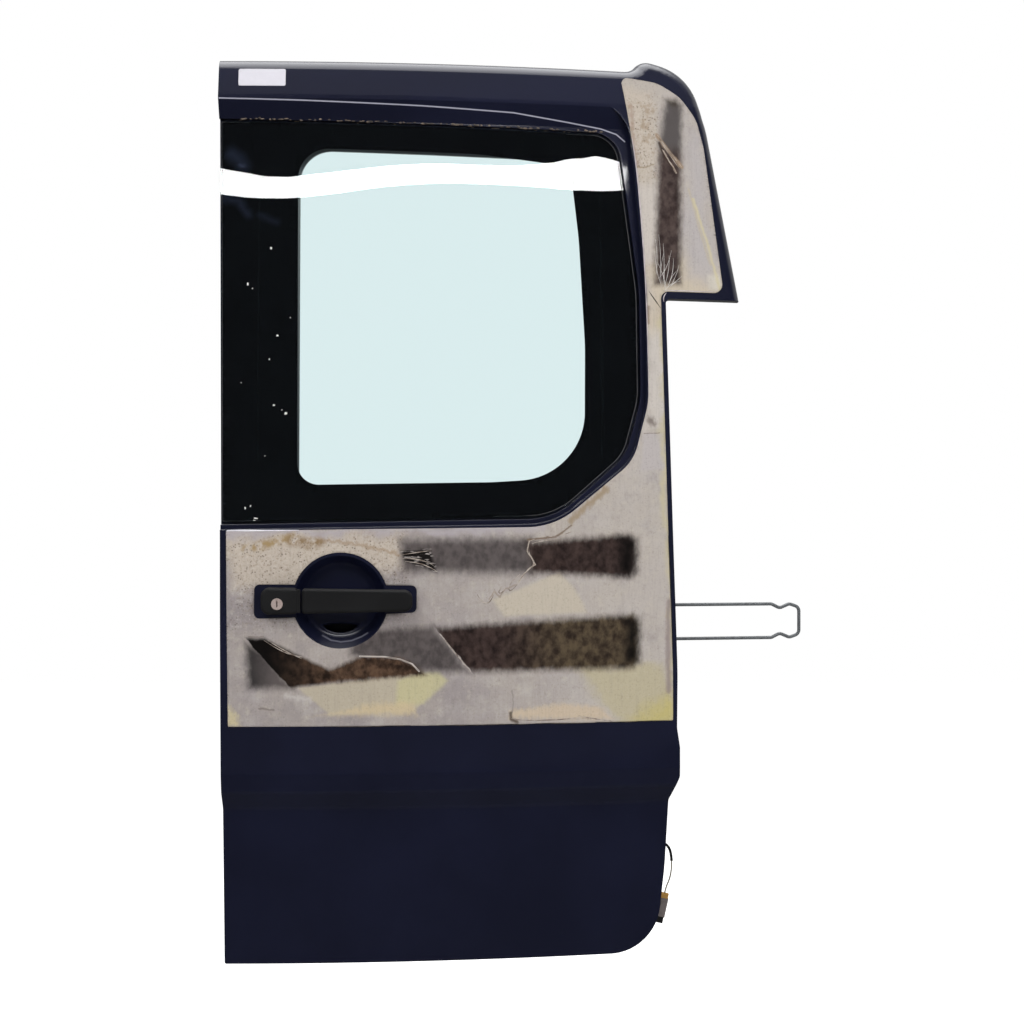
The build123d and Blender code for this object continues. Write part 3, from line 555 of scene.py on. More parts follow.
def wiring():
    """Wire with its sheath, on which the plug hangs."""
    low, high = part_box("harness_grommet")
    middle = (low + high) / 2
    points = [Vector((high.x + dx * MM, middle.y, middle.z + dz * MM)) for dx, dz in ROUTE]
    wire = cord_curve("wiring_tail", points, WIRE_DIAMETER)
    wire.data.materials.append(finishes["wire_cover"])
    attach(wire, "door")
    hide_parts("harness_wire")
    line = smooth_line(points)
    sheath_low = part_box("harness_sheath")[0].z
    covered = [p for p in line if p.z >= sheath_low]

    def thickness(share):
        worn = SHEATH_WEAR * math.sin(SHEATH_RIPPLE * share)
        return SHEATH_DIAMETER / 2 - SHEATH_INSET + worn

    sheath = new_piece("wiring_sheath", *tube(covered, thickness), slot="black_rubber")
    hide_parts("harness_sheath")


wiring()


# Black border printed behind the glass

GLASS_EDGE = [
    (-3.3, 661, 2), (494, 670, 110), (601, 764, 70), (624, 850, 120),
    (622, 1013, 300), (589, 1256, 42), (-8.6, 1265, 2),
]
CLEAR_EDGE = [
    (108.2, 716.5, 32), (400, 721, 400), (540.5, 730, 105), (541.5, 930, 500),
    (532, 1095, 500), (519, 1206, 35), (380, 1220.5, 400), (107.5, 1225.5, 46),
]
# Smudges on the border: points, width, softness and strength
SMUDGES = [
    ([(8, 1216), (18, 1208), (24, 1198)], 14, 12, 0.5), ([(19, 1200), (25, 1197)], 4, 3, 0.9),
    ([(-2, 1148), (20, 1143), (32, 1124)], 8, 9, 0.4), ([(52, 1122), (76, 1112)], 6, 8, 0.25),
]


def border():
    """Black ceramic border on the back of the pane, faintly smudged."""
    g = Marks("ceramic_black", roughness=1.0, ior_level=0.0)
    colour = g.mix(g.noise(90.0, 3.0), rgb(17, 18, 22), rgb(25, 26, 30))
    shaken = g.shaken(12.0, 5.0)
    for points, width, soft, strength in SMUDGES:
        share = g.both(g.streak(points, width, soft, shaken), strength)
        colour = g.mix(share, colour, rgb(74, 78, 102))
    g.finish(base_color=colour)
    laid_sheet(
        "glass_border", glass_tree, rounded(GLASS_EDGE), [rounded(CLEAR_EDGE)],
        lift=0.06, step=12.0, thickness=0.1, material=g.material, way=-1,
    )


border()


# Old adhesive film on the skin

FILM_EDGE = [
    (8, 357, 2), (676.5, 357, 2), (676.5, 430, 300), (659, 1016, 12), (759, 1016, 14),
    (728, 1240, 60), (716, 1284, 50), (690, 1320, 60), (655, 1341, 60), (597, 1348, 9),
    (611, 1269, 0), (621, 1206, 0), (637.5, 1013, 300), (639.5, 844, 124), (616.3, 754.5, 74),
    (494.5, 653.5, 116), (3.5, 648, 2),
]
CUP = (174.0, 544.0)
CUP_EDGE = 71.5
BAR_EDGE = [(46, 517, 8), (287, 525.5, 8), (287.5, 566, 8), (46, 568, 8)]
# Clouds in its tone: size, low and high share of the noise, strength, colour
CLOUDS = [
    (120.0, 0.35, 0.65, 0.45, (178, 169, 158)), (36.0, 0.42, 0.75, 0.42, (186, 180, 176)),
    (50.0, 0.5, 0.8, 0.55, (134, 127, 128)), (11.0, 0.5, 0.75, 0.3, (196, 188, 172)),
    (9.0, 0.52, 0.76, 0.28, (128, 119, 114)),
]
# Beige and yellow patches that torn tape has left: corners, softness, colour, strength, kind of edge
PATCHES = [
    ([(8, 556), (150, 560), (262, 590), (262, 640), (8, 646)], 16, (190, 178, 164), 0.85, "loose"),
    ([(118, 492), (240, 476), (206, 458), (160, 436), (140, 446)], 5, (166, 157, 146), 0.85, "frayed"),
    ([(419, 519), (544, 524), (526, 558), (503, 585), (401, 544)], 4, (186, 176, 160), 0.9, "torn"),
    ([(159, 373), (290, 380), (298, 392), (334, 424), (290, 437), (112, 414)],
     3, (176, 166, 148), 1.0, "torn"),
    ([(256, 384), (298, 390), (334, 423), (320, 437), (290, 436), (260, 424)],
     5, (186, 179, 140), 0.85, "torn"),
    ([(587, 358), (677, 356), (677, 403), (656, 440), (525, 444), (564, 386)],
     12, (178, 168, 138), 0.8, "loose"),
    ([(606, 356), (678, 356), (678, 400), (640, 378)], 16, (184, 172, 110), 0.9, "loose"),
    ([(427, 366), (582, 361), (566, 380), (503, 386), (427, 378)], 6, (194, 176, 152), 0.85, "frayed"),
    ([(159, 375), (287, 373), (280, 392), (221, 390)], 7, (196, 178, 144), 0.8, "frayed"),
    ([(8, 358), (26, 358), (22, 372), (8, 388)], 5, (192, 180, 146), 0.9, "frayed"),
    ([(640, 800), (662, 800), (660, 930), (654, 1012), (636, 1010)], 10, (194, 187, 180), 0.9, "loose"),
    ([(628, 740), (666, 740), (662, 796), (632, 798)], 3, (178, 171, 170), 0.9, "torn"),
    ([(636, 960), (659, 960), (759, 1016), (757, 1050), (640, 1080)], 18, (192, 180, 162), 1.0, "loose"),
    ([(606, 1180), (650, 1180), (652, 1320), (600, 1330)], 12, (186, 175, 162), 0.9, "loose"),
    ([(622, 1060), (650, 1060), (650, 1186), (616, 1186)], 10, (194, 186, 178), 0.9, "loose"),
    ([(700, 1040), (750, 1030), (716, 1260), (696, 1270)], 14, (176, 170, 170), 0.8, "loose"),
    ([(736, 1022), (757, 1020), (754, 1044), (734, 1044)], 5, (202, 196, 184), 0.8, "torn"),
]
# Tears that are drawn in the film and have a lifted lip
LEFT_TEAR = [(203, 461), (240, 460), (263, 456), (281, 449), (291, 438)]
BAND_TEAR = [(322, 494), (342, 467), (368, 437)]
HORN_TEAR = [(654, 1258), (670, 1236), (693, 1210)]
# Tears, scratches, glue and dirt: points, width, softness, colour, strength, kind of edge
STREAKS = [
    ([(5, 645), (250, 648), (480, 650)], 9, 7, (170, 163, 168), 0.8, "loose"),
    ([(674, 420), (670, 640), (659, 980)], 8, 6, (188, 179, 144), 0.7, "loose"),
    (LEFT_TEAR, 2.0, 0.8, (200, 192, 186), 1.0, "plain"),
    (BAND_TEAR, 1.2, 0.6, (170, 162, 158), 1.0, "torn"),
    ([(456, 633), (453, 616), (466, 597), (449, 585), (440, 570)], 1.6, 0.7, (176, 164, 152), 1.0, "torn"),
    ([(454, 634), (496, 638), (520, 655)], 2.6, 1.4, (112, 94, 78), 0.9, "torn"),
    ([(520, 662), (534, 676), (556, 695), (574, 711)], 9, 4, (146, 128, 102), 0.8, "frayed"),
    ([(142, 634), (200, 628), (262, 612)], 4, 3, (150, 128, 102), 0.7, "frayed"),
    ([(396, 545), (404, 556), (412, 548), (420, 560), (436, 566)], 2.0, 0.9, (150, 138, 128), 1.0, "torn"),
    ([(430, 372), (432, 388), (430, 408)], 1.6, 0.8, (140, 132, 128), 0.9, "torn"),
    ([(428, 374), (429, 364), (437, 361)], 5, 2, (84, 72, 62), 0.9, "torn"),
    ([(711, 1160), (734, 1091), (753, 1021)], 4.0, 2.4, (200, 190, 152), 0.75, "torn"),
    ([(704, 1176), (722, 1110), (738, 1060)], 3.0, 2.4, (186, 172, 136), 0.45, "torn"),
    (HORN_TEAR, 5.0, 1.6, (152, 132, 112), 1.0, "torn"),
    ([(657, 1246), (668, 1222), (684, 1202)], 4.0, 1.6, (62, 48, 42), 0.9, "torn"),
    ([(664, 1234), (684, 1200)], 2.0, 0.8, (168, 152, 138), 1.0, "torn"),
    ([(670, 540), (669, 470), (670, 402)], 7, 3.5, (136, 122, 120), 0.8, "torn"),
    ([(641, 819), (647, 812)], 8, 5, (98, 86, 80), 0.8, "frayed"),
    ([(632, 797), (656, 797)], 1.2, 0.8, (112, 100, 94), 0.8, "torn"),
    ([(640, 992), (640, 966)], 3.5, 2.5, (124, 104, 92), 0.8, "torn"),
    ([(612, 1302), (616, 1236), (622, 1210)], 5, 4, (150, 126, 112), 0.6, "frayed"),
    ([(616, 1208), (634, 1206), (648, 1212)], 2.0, 1.4, (128, 112, 84), 0.7, "torn"),
    ([(38, 490), (60, 491)], 1.6, 1.0, (120, 108, 100), 0.7, "torn"),
    ([(96, 402), (130, 396)], 6, 5, (194, 188, 184), 0.6, "frayed"),
    ([(54, 384), (76, 382)], 2.2, 1.2, (112, 102, 96), 0.7, "torn"),
]
# Speckled zones, sprayed bands with their torn cuts, crumpled tape and glue
HANDLE_ZONE = [(8, 500), (270, 520), (270, 640), (8, 646)]
HORN_ZONE = [(606, 1190), (652, 1190), (656, 1312), (602, 1312)]
UPPER_GREY = [(266, 587), (460, 583), (460, 637), (262, 634)]
UPPER_BAND = [(458, 584), (612, 576), (620, 590), (620, 632), (608, 642), (452, 630)]
UPPER_END = [(592, 580), (618, 584), (619, 634), (594, 638)]
LOWER_GREY = [(189, 463), (290, 438), (372, 436), (344, 468), (322, 505), (189, 500)]
LOWER_BAND = [(318, 436), (616, 438), (624, 450), (624, 508), (616, 520), (318, 503)]
LOWER_CUT = [(369, 437), (318, 499)]
LOWER_END = [(602, 446), (623, 450), (623, 512), (604, 514)]
LEFT_GREY = [(38, 414), (104, 412), (60, 470), (34, 480)]
LEFT_CUT = [(100, 415), (37, 484)]
LEFT_NEAR = [(92, 414), (170, 422), (160, 440), (62, 488), (30, 488)]
LEFT_FAR = [(140, 420), (300, 432), (290, 444), (262, 458), (206, 461), (140, 434)]
HORN_BAND = [(650, 1026), (691, 1028), (693, 1306), (684, 1316), (660, 1314), (657, 1240), (650, 1190)]
CRUMPLE = [(268, 604), (316, 586), (308, 620), (264, 617)]
CRACKLE = [(74, 486), (112, 487), (118, 466), (98, 468)]
GLUE_LEFT = [(34, 620), (80, 632), (104, 638)]
GLUE_RIGHT = [(100, 634), (130, 628), (142, 632)]


def film_material():
    """Grey and beige glue with brown bands, torn patches, speckle and dirt."""
    g = Marks("old_adhesive", ior_level=0.2)
    torn = g.shaken(14.0, 3.0)
    loose = g.shaken(60.0, 28.0, shift=5.0)
    edges = {
        "plain": g.flat, "torn": torn, "loose": loose,
        "frayed": g.shaken(7.0, 8.0, (1.0, 1.0, 0.6), 23.0),
    }
    sprayed = g.shaken(7.0, 5.0, (1.0, 1.0, 0.55), 11.0)
    colour = g.mix(g.ramp(loose[0], 280, 620), rgb(147, 139, 139), rgb(176, 168, 162))
    for k, (size, low, high, strength, tone) in enumerate(CLOUDS):
        share = g.ramp(g.noise(size, 5.0, rough=0.6, shift=3.0 * k), low, high, 0.0, strength)
        colour = g.mix(share, colour, rgb(*tone))

    def lay(share, tone, strength=1.0):
        nonlocal colour
        colour = g.mix(share if strength == 1.0 else g.both(share, strength), colour, tone)

    for corners, soft, tone, strength, edge in PATCHES:
        lay(g.patch(corners, soft, edges[edge]), rgb(*tone), strength)

    # Speckle: dense round the handle and on the horn, thin elsewhere
    near_handle = g.patch(HANDLE_ZONE, 26, loose)
    on_horn = g.patch(HORN_ZONE, 12, loose)
    thick = g.math("MAXIMUM", near_handle, on_horn)
    grit = g.noise(4.5, 4.0, rough=0.7, shift=31.0)
    lay(g.both(g.ramp(grit, 0.52, 0.68), g.ramp(thick, 0.0, 1.0, 0.06, 0.55)), rgb(134, 118, 102))
    lay(g.both(g.ramp(grit, 0.46, 0.34), g.ramp(thick, 0.0, 1.0, 0.1, 0.4)), rgb(204, 197, 188))
    speck = g.ramp(g.cells(4.4), 0.36, 0.18)
    speck = g.both(speck, g.ramp(g.noise(13.0, 3.0, shift=8.0), 0.42, 0.56))
    lay(g.both(speck, g.ramp(thick, 0.0, 1.0, 0.14, 0.62)), rgb(84, 72, 62))
    stain = g.ramp(g.noise(14.0, 5.0, rough=0.6, shift=14.0), 0.5, 0.7)
    lay(g.both(stain, g.ramp(on_horn, 0.0, 1.0, 0.0, 0.6)), rgb(150, 130, 106))
    fine = g.noise(2.6, 3.0, rough=0.6, shift=2.0)
    combed = g.noise(3.0, 3.0, (1.0, 1.0, 0.06), 0.6, 41.0)
    lay(g.ramp(combed, 0.45, 0.8, 0.0, 0.16), rgb(112, 104, 102))
    lay(g.ramp(fine, 0.5, 0.75, 0.0, 0.14), rgb(92, 84, 80))

    # Brown bands, sprayed soft at their edges
    mottle = g.noise(11.0, 3.0, (1.0, 1.0, 0.8), 0.55, 21.0)

    def mottled(low, high, first, second):
        return g.mix(g.ramp(mottle, low, high), rgb(*first), rgb(*second))

    dark = mottled(0.25, 0.75, (30, 20, 19), (66, 52, 48))
    olive = mottled(0.25, 0.75, (38, 28, 22), (88, 75, 57))
    grey = mottled(0.3, 0.7, (62, 56, 56), (86, 79, 78))
    black = rgb(8, 6, 6)
    lay(g.patch(UPPER_GREY, 11, sprayed), grey, 0.95)
    lay(g.patch(UPPER_BAND, 8, sprayed), dark)
    lay(g.patch(UPPER_END, 14, sprayed), black, 0.94)
    lay(g.patch(LOWER_GREY, 9, sprayed), grey, 0.95)
    cut = g.ramp(g.side(*LOWER_CUT, torn), 1.0, -1.0)
    lower_tone = g.mix(g.ramp(loose[0], 400, 520), dark, olive)
    lay(g.both(g.patch(LOWER_BAND, 8, sprayed), cut), lower_tone)
    lay(g.patch(LOWER_END, 13, sprayed), black, 0.92)
    left_grey = g.mix(g.ramp(loose[0], 36, 84), rgb(38, 35, 36), rgb(82, 75, 74))
    lay(g.patch(LEFT_GREY, 9, sprayed), left_grey, 0.95)
    cut = g.ramp(g.side(*LEFT_CUT, torn), 1.0, -1.0)
    left = g.math("MAXIMUM", g.patch(LEFT_NEAR, 4, torn), g.patch(LEFT_FAR, 5, sprayed))
    rusty = mottled(0.28, 0.72, (34, 22, 15), (92, 70, 54))
    lay(g.both(left, cut), g.mix(g.ramp(loose[0], 60, 170), rgb(14, 11, 10), rusty))
    horn_low = mottled(0.25, 0.75, (44, 33, 32), (82, 69, 65))
    horn_tone = g.mix(g.ramp(loose[1], 1250, 1222), rgb(84, 79, 78), horn_low)
    horn_tone = g.mix(g.ramp(loose[1], 1288, 1306), horn_tone, rgb(64, 57, 51))
    lay(g.patch(HORN_BAND, 8, sprayed), horn_tone)

    for points, width, soft, tone, strength, edge in STREAKS:
        lay(g.streak(points, width, soft, edges[edge]), rgb(*tone), strength)
    glue = g.ramp(g.noise(13.0, 4.0, rough=0.6, shift=17.0), 0.36, 0.62)
    lay(g.both(g.streak(GLUE_LEFT, 13, 5, torn), glue), rgb(156, 134, 98))
    lay(g.both(g.streak(GLUE_RIGHT, 15, 6, torn), glue), rgb(136, 114, 86))

    # Crumpled black tape by the handle and below it
    crumple = g.patch(CRUMPLE, 4, torn)
    creases = g.ramp(g.noise(8.0, 2.0, (0.6, 1.0, 2.6), 0.5, 9.0), 0.56, 0.64)
    lay(crumple, g.mix(creases, rgb(20, 16, 15), rgb(158, 150, 146)))
    cracked = g.mix(g.both(creases, 0.5), rgb(24, 19, 18), rgb(150, 138, 128))
    lay(g.patch(CRACKLE, 4, torn), cracked, 0.9)
    g.finish(base_color=colour)
    g.finish(roughness=g.ramp(g.noise(30.0, 4.0), 0.3, 0.7, 0.5, 0.75))
    relief = g.math("ADD", fine, g.both(g.noise(24.0, 5.0, rough=0.6), 2.0))
    relief = g.math("ADD", relief, g.both(crumple, g.both(creases, 3.0)))
    g.bump(relief, 0.14, 0.5)
    return g.material


def film():
    """Film from the bottom of the waist up into the horn, cut out round the handle."""
    holes = [circle(*CUP, CUP_EDGE, count=72), rounded(BAR_EDGE)]
    laid_sheet(
        "adhesive_film", skin_tree, rounded(FILM_EDGE), holes,
        lift=0.15, step=5.0, thickness=0.3, material=film_material(),
    )


film()


# Blank label, paint specks and dry sealant crumbs

LABEL_EDGE = [(18.5, 1317, 2.5), (89.5, 1317, 2.5), (89, 1344, 2.5), (18, 1344, 2.5)]


def label():
    """Blank paper label on the header."""
    g = wavering("label_paper", 0.5, 12.0, 4.0, (208, 206, 214), (222, 220, 228))
    g.bump(g.noise(1.5, 3.0), 0.03, 0.4)
    laid_sheet(
        "blank_label", skin_tree, rounded(LABEL_EDGE, 1.0), [],
        lift=0.1, step=4.0, thickness=0.15, material=g.material,
    )


# Lumps: how uneven their outline is, and how deep they sit as a share of their height
LUMP_UNEVEN = 0.28
LUMP_SUNK = 0.2


def blob(centre, across, along, off, rng, sides=9, rings=3):
    """Points and faces of a small flat irregular lump on a face; across and along are its half sizes."""
    wave = [1 + rng.uniform(-LUMP_UNEVEN, LUMP_UNEVEN) for _ in range(sides)]
    points = []
    for ring in range(rings):
        tilt = math.pi / 2 * ring / rings
        for share, (c, s) in zip(wave, around(sides)):
            spread = share * math.cos(tilt)
            points.append(centre + across * c * spread + along * s * spread + off * math.sin(tilt))
    points += [centre + off, centre - off * LUMP_SUNK]
    faces = ring_faces(rings, sides, capped=False)
    top = rings * sides
    for s in range(sides):
        faces.append((top - sides + s, top - sides + (s + 1) % sides, top))
        faces.append(((s + 1) % sides, s, top + 1))
    return points, faces


def joined(parts):
    """Several sets of points and faces as one."""
    points = []
    faces = []
    for some_points, some_faces in parts:
        first = len(points)
        points += some_points
        faces += [tuple(first + i for i in f) for f in some_faces]
    return points, faces


# Specks: place and half sizes
SPECKS = [
    (33, 1019, 1.6, 2.4), (40, 1012, 0.9, 0.9), (78, 941, 1.6, 1.6), (91, 824, 2.2, 2.2),
    (73, 836, 1.8, 1.2), (85, 829, 1.0, 0.8), (31, 682, 1.2, 2.2), (39, 685, 1.0, 1.8),
    (68, 1073, 1.6, 2.0), (66, 905, 0.9, 1.2), (47, 666.5, 3.6, 1.2), (45, 663.5, 2.2, 0.8),
    (24, 870, 0.8, 0.8), (97, 968, 0.8, 1.0), (60, 760, 0.9, 0.7),
]
SPECK_HEIGHT = 0.25
# Gap above the pane: its ends, its height at the meeting edge, its fall and the share left clean
GAP_START = 6.0
GAP_END = 560.0
GAP_HEIGHT = 1269.5
GAP_FALL = 0.0153
GAP_CLEAN = 0.18


def specks():
    """White paint specks on the dark side of the pane."""
    rng = random.Random(4)
    parts = []
    for x, z, half_x, half_z in SPECKS:
        centre = laid(glass_tree, x, z, lift=0.05)
        off = Vector((0, -SPECK_HEIGHT * MM, 0))
        parts.append(blob(centre, Vector((half_x * MM, 0, 0)), Vector((0, 0, half_z * MM)), off, rng))
    g = wavering("white_specks", 0.6, 1.5, 3.0, (206, 204, 200), (240, 240, 238))
    new_piece("paint_specks", *joined(parts), g.material)


def crumbs():
    """Dry dirty sealant in the gap above the pane."""
    rng = random.Random(9)
    parts = []
    x = GAP_START
    while x < GAP_END:
        x += rng.uniform(3.0, 9.0)
        z = GAP_HEIGHT - GAP_FALL * x + rng.uniform(-0.8, 1.6)
        centre = laid(skin_tree, x, z, lift=0.1)
        if centre is None or rng.random() < GAP_CLEAN:
            continue
        across = Vector((rng.uniform(1.6, 4.6) * MM, 0, 0))
        along = Vector((0, 0, rng.uniform(0.9, 2.0) * MM))
        off = Vector((0, -rng.uniform(0.5, 1.4) * MM, 0))
        parts.append(blob(centre, across, along, off, rng, sides=7, rings=2))
    g = wavering("dirty_sealant", 0.85, 8.0, 4.0, (62, 58, 55), (122, 109, 97), sharp=True)
    g.bump(g.noise(1.2, 3.0), 0.2, 0.6)
    new_piece("sealant_crumbs", *joined(parts), g.material)


label()
specks()
crumbs()


# Loose fibres, lifted edges of the film, painted highlights and dark lines along its edges, and the ground
# edge of the pane

FIBRES = [
    [(652, 1042), (655, 1070), (651, 1096)], [(657, 1032), (661, 1064), (656, 1104)],
    [(662, 1024), (666, 1052), (663, 1090)], [(668, 1020), (664, 1042), (653, 1062)],
    [(670, 1020), (674, 1040), (686, 1050)], [(673, 1022), (680, 1030), (692, 1040)],
    [(664, 1021), (674, 1050), (672, 1072)], [(659, 1028), (651, 1046), (650, 1078)],
    [(671, 1026), (680, 1046), (679, 1068)], [(666, 1018), (672, 1028), (690, 1033)],
    [(655, 1036), (669, 1046), (676, 1080)], [(660, 1022), (657, 1050), (664, 1076)],
    [(668, 1016), (662, 1034), (666, 1058)], [(674, 1024), (684, 1040), (688, 1058)],
]
LIPS = [
    LEFT_TEAR, BAND_TEAR,
    [(61, 485), (84, 470), (104, 463), (118, 460)], [(66, 486), (90, 469), (117, 458)],
    [(456, 633), (453, 616), (466, 597), (449, 585), (438, 568)],
    [(440, 570), (430, 556), (423, 560), (430, 572), (442, 582)],
    [(420, 562), (414, 552), (408, 556), (416, 564)], [(404, 560), (400, 540), (384, 538), (378, 552)],
    [(457, 632), (474, 640), (500, 638), (520, 646)], [(460, 628), (478, 634), (504, 634)],
    HORN_TEAR, [(662, 1236), (684, 1200)], [(657, 1252), (676, 1224), (690, 1206)],
    [(266, 612), (290, 616), (308, 618)], [(266, 606), (292, 608), (312, 596)],
    [(270, 602), (300, 600), (318, 586)],
    [(427, 366), (442, 362), (500, 362), (540, 366), (580, 359)], [(530, 368), (556, 362), (582, 358)],
]
# Painted highlights: pale lines along the film's edges at the crest of the window pocket and at the horn's
# foot
PALE_RIM_HIGHLIGHTS = [
    [(599, 1338), (611.5, 1269), (621.8, 1206), (630, 1110), (636, 1020), (638.5, 930), (640, 850)],
    [(664, 1018), (700, 1017.4), (742, 1018)], [(664, 1000), (662, 1008), (668, 1014)],
]
# Painted highlight: white lines along the film's top edge under the window shoulder
PAINTED_GLINTS = [[(4, 647.6), (60, 648.2), (112, 648.8)], [(5, 648.4), (30, 648.6), (60, 648.8)]]
# Dark lines along the film's foot and its right edge
DARK_EDGE_LINES = [
    [(150, 357), (200, 356), (260, 357.6), (330, 356.4)], [(320, 357), (380, 356), (440, 357.5)],
    [(430, 356), (470, 357.6), (520, 356), (566, 357)],
    [(556, 357.6), (600, 356), (640, 357.4), (676, 356.6)],
    [(640, 1016.5), (650, 1002), (659, 990)], [(676, 470), (673, 560), (670, 640)],
]
PANE_EDGE = [
    (-2.3, 662, 2), (494, 671, 109), (600.2, 764.4, 69), (623, 850, 119),
    (621, 1013, 299), (588.2, 1255, 41), (-7.6, 1264, 2),
]


# Strands thin out to a share of their radius, which the last share of their length keeps
TIP_RADIUS = 0.35
TIP_LENGTH = 0.04


def strands(name, lines, radius, material, lift, tree=skin_tree):
    """Thin strands that lie on the film, or on another node."""

    def taper(share):
        inner = min(max(share, TIP_LENGTH), 1 - TIP_LENGTH)
        return radius * (TIP_RADIUS + (1 - TIP_RADIUS) * math.sin(math.pi * inner))

    parts = []
    for points in lines:
        route = [laid(tree, x, z, lift) for x, z in points]
        parts.append(tube(smooth_line([p for p in route if p]), taper, 6))
    new_piece(name, *joined(parts), material)


# Strands by kind: name, lines, radius, lift, two colours
STRANDS = [
    ("film_fibres", FIBRES, 0.36, 0.6, (182, 176, 172), (224, 220, 216)),
    ("film_lips", LIPS, 0.8, 0.4, (110, 95, 84), (186, 175, 165)),
    ("film_rim_highlights", PALE_RIM_HIGHLIGHTS, 0.9, 0.4, (176, 166, 170), (204, 196, 200)),
    ("film_painted_glints", PAINTED_GLINTS, 1.1, 0.5, (226, 224, 232), (244, 243, 248)),
    ("film_dark_edges", DARK_EDGE_LINES, 0.9, 0.2, (26, 23, 22), (70, 60, 52)),
]


def loose_bits():
    """White fibres, curled and lifted film, painted highlight lines and dark lines along its edges, and
    the pane's pale edge.
    """
    for name, lines, radius, lift, low, high in STRANDS:
        g = wavering(name + "_finish", 0.6, 12.0, 4.0, low, high, sharp=True)
        strands(name, lines, radius, g.material, lift)
    g = wavering("ground_edge", 0.6, 20.0, 4.0, (44, 44, 47), (88, 88, 91))
    loop = rounded(PANE_EDGE)
    strands("pane_edge", [loop + loop[:1]], 0.8, g.material, lift=0.1, tree=glass_tree)


loose_bits()


# Small fasteners, spot welds, plugs and the tongue that closes the gap beside the lever

# Places and sizes; profiles give radius and height
BOLT_REACH = 36.8
SCREW_REACH = 33.0
WELD_STEP = 58
WELD_LINES = (27.0, 652.0)
WELD_HALF = (3.4, 3.2)
WELD_HEIGHT = 0.5
FACING_BACK = 0.9
PLUGS = [(34, 604), (34, 300), (651, 660), (651, 250)]
SCREW = [(4.2, -0.5), (4.2, 0.9), (3.3, 2.0), (1.7, 2.3), (1.3, 1.2)]
WASHER = [(4.4, -0.5), (4.4, 0.6), (4.1, 0.9)]
HEXAGON = [(3.5, 0.7), (3.5, 3.0), (3.0, 3.5)]
RUBBER_PLUG = [(8.6, -0.5), (8.6, 0.7), (7.4, 1.6), (5.6, 1.7), (5.0, 0.9)]
# Tongue: cover overlap, gap to the lever, sink below the face, depth, inset at the sides, rounding
TONGUE_OVERLAP = 2.0
TONGUE_GAP = 0.7
TONGUE_SINK = 1.2
TONGUE_DEPTH = 9.0
TONGUE_INSET = 2.5
TONGUE_ROUND = 0.8


def turned(centre, axis, profile, sides):
    """Points and faces of a closed turned shape; the profile gives radius and height in millimetres."""
    side = axis.orthogonal().normalized()
    up = axis.cross(side)
    points = []
    for radius, height in profile:
        points += [centre + ((side * c + up * s) * radius + axis * height) * MM for c, s in around(sides)]
    return points, ring_faces(len(profile), sides)


def first_hit(names, start, way):
    """Nearest point and normal that a ray finds on some nodes."""
    hits = [tree_of(name).ray_cast(start, way) for name in names]
    return min((h for h in hits if h[0]), key=lambda h: h[3])[:2]


def fasteners():
    """Bolts of the check plate, screws of the latch, spot welds and plugs of the inner frame."""
    low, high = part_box("check_plate")
    middle = (low + high) / 2
    bolts = []
    for dz in (-BOLT_REACH, BOLT_REACH):
        start = Vector((high.x + RAY_START, middle.y, middle.z + dz * MM))
        place, normal = first_hit(["check_plate"], start, Vector((-1, 0, 0)))
        bolts += [turned(place, normal, WASHER, 24), turned(place, normal, HEXAGON, 6)]
    low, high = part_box("latch_case")
    middle = (low + high) / 2
    for dz in (-SCREW_REACH, SCREW_REACH):
        start = Vector((low.x - RAY_START, middle.y, middle.z + dz * MM))
        place, normal = first_hit(["outer_skin", "inner_frame", "latch_case"], start, Vector((1, 0, 0)))
        bolts.append(turned(place, normal, SCREW, 20))
    new_piece("bolt_heads", *joined(bolts), slot="zinc_steel", crease=35)

    tree = tree_of("inner_frame")
    rng = random.Random(12)
    welds = []
    for x in WELD_LINES:
        for z in range(WELD_STEP, int((skin_high.z - FOOT) / MM), WELD_STEP):
            hit, normal = cast(tree, x, z, -1)
            if hit and normal.y > FACING_BACK:
                side = Vector((WELD_HALF[0] * MM, 0, 0))
                up = Vector((0, 0, WELD_HALF[1] * MM))
                welds.append(blob(hit, side, up, normal * WELD_HEIGHT * MM, rng, sides=14))
    new_piece("spot_welds", *joined(welds), slot="inner_paint")
    plugs = [turned(*cast(tree, x, z, -1), RUBBER_PLUG, 28) for x, z in PLUGS]
    new_piece("frame_plugs", *joined(plugs), slot="black_rubber", crease=50)


def tongue():
    """Tongue of the lock cover that fills the gap beside the lever, just below its face."""
    cover_low, cover_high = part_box("lock_cover")
    lever_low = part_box("handle_lever")[0]
    middle = (cover_low.z + cover_high.z) / 2
    start = Vector((cover_high.x - 2 * TONGUE_OVERLAP * MM, cover_low.y - RAY_START, middle))
    front = first_hit(["lock_cover"], start, Vector((0, 1, 0)))[0].y
    xs = (cover_high.x - TONGUE_OVERLAP * MM, lever_low.x - TONGUE_GAP * MM)
    ys = (front + TONGUE_SINK * MM, front + TONGUE_DEPTH * MM)
    zs = (cover_low.z + TONGUE_INSET * MM, cover_high.z - TONGUE_INSET * MM)
    corners = [Vector((x, y, z)) for z in zs for y in ys for x in xs]
    faces = [(0, 2, 3, 1), (4, 5, 7, 6), (0, 1, 5, 4), (2, 6, 7, 3), (0, 4, 6, 2), (1, 3, 7, 5)]
    piece = new_piece("cover_tongue", corners, faces, slot="handle_plastic", crease=35)
    edge = piece.modifiers.new("round", "BEVEL")
    edge.width = TONGUE_ROUND * MM
    edge.segments = 3


fasteners()
tongue()


# Stage, camera and lights

# Floor: drop below the door and half size in metres, tone, glow
FLOOR_DROP = 0.35
FLOOR_HALF = 9.0
FLOOR_TONE = 0.9
FLOOR_GLOW = 0.62
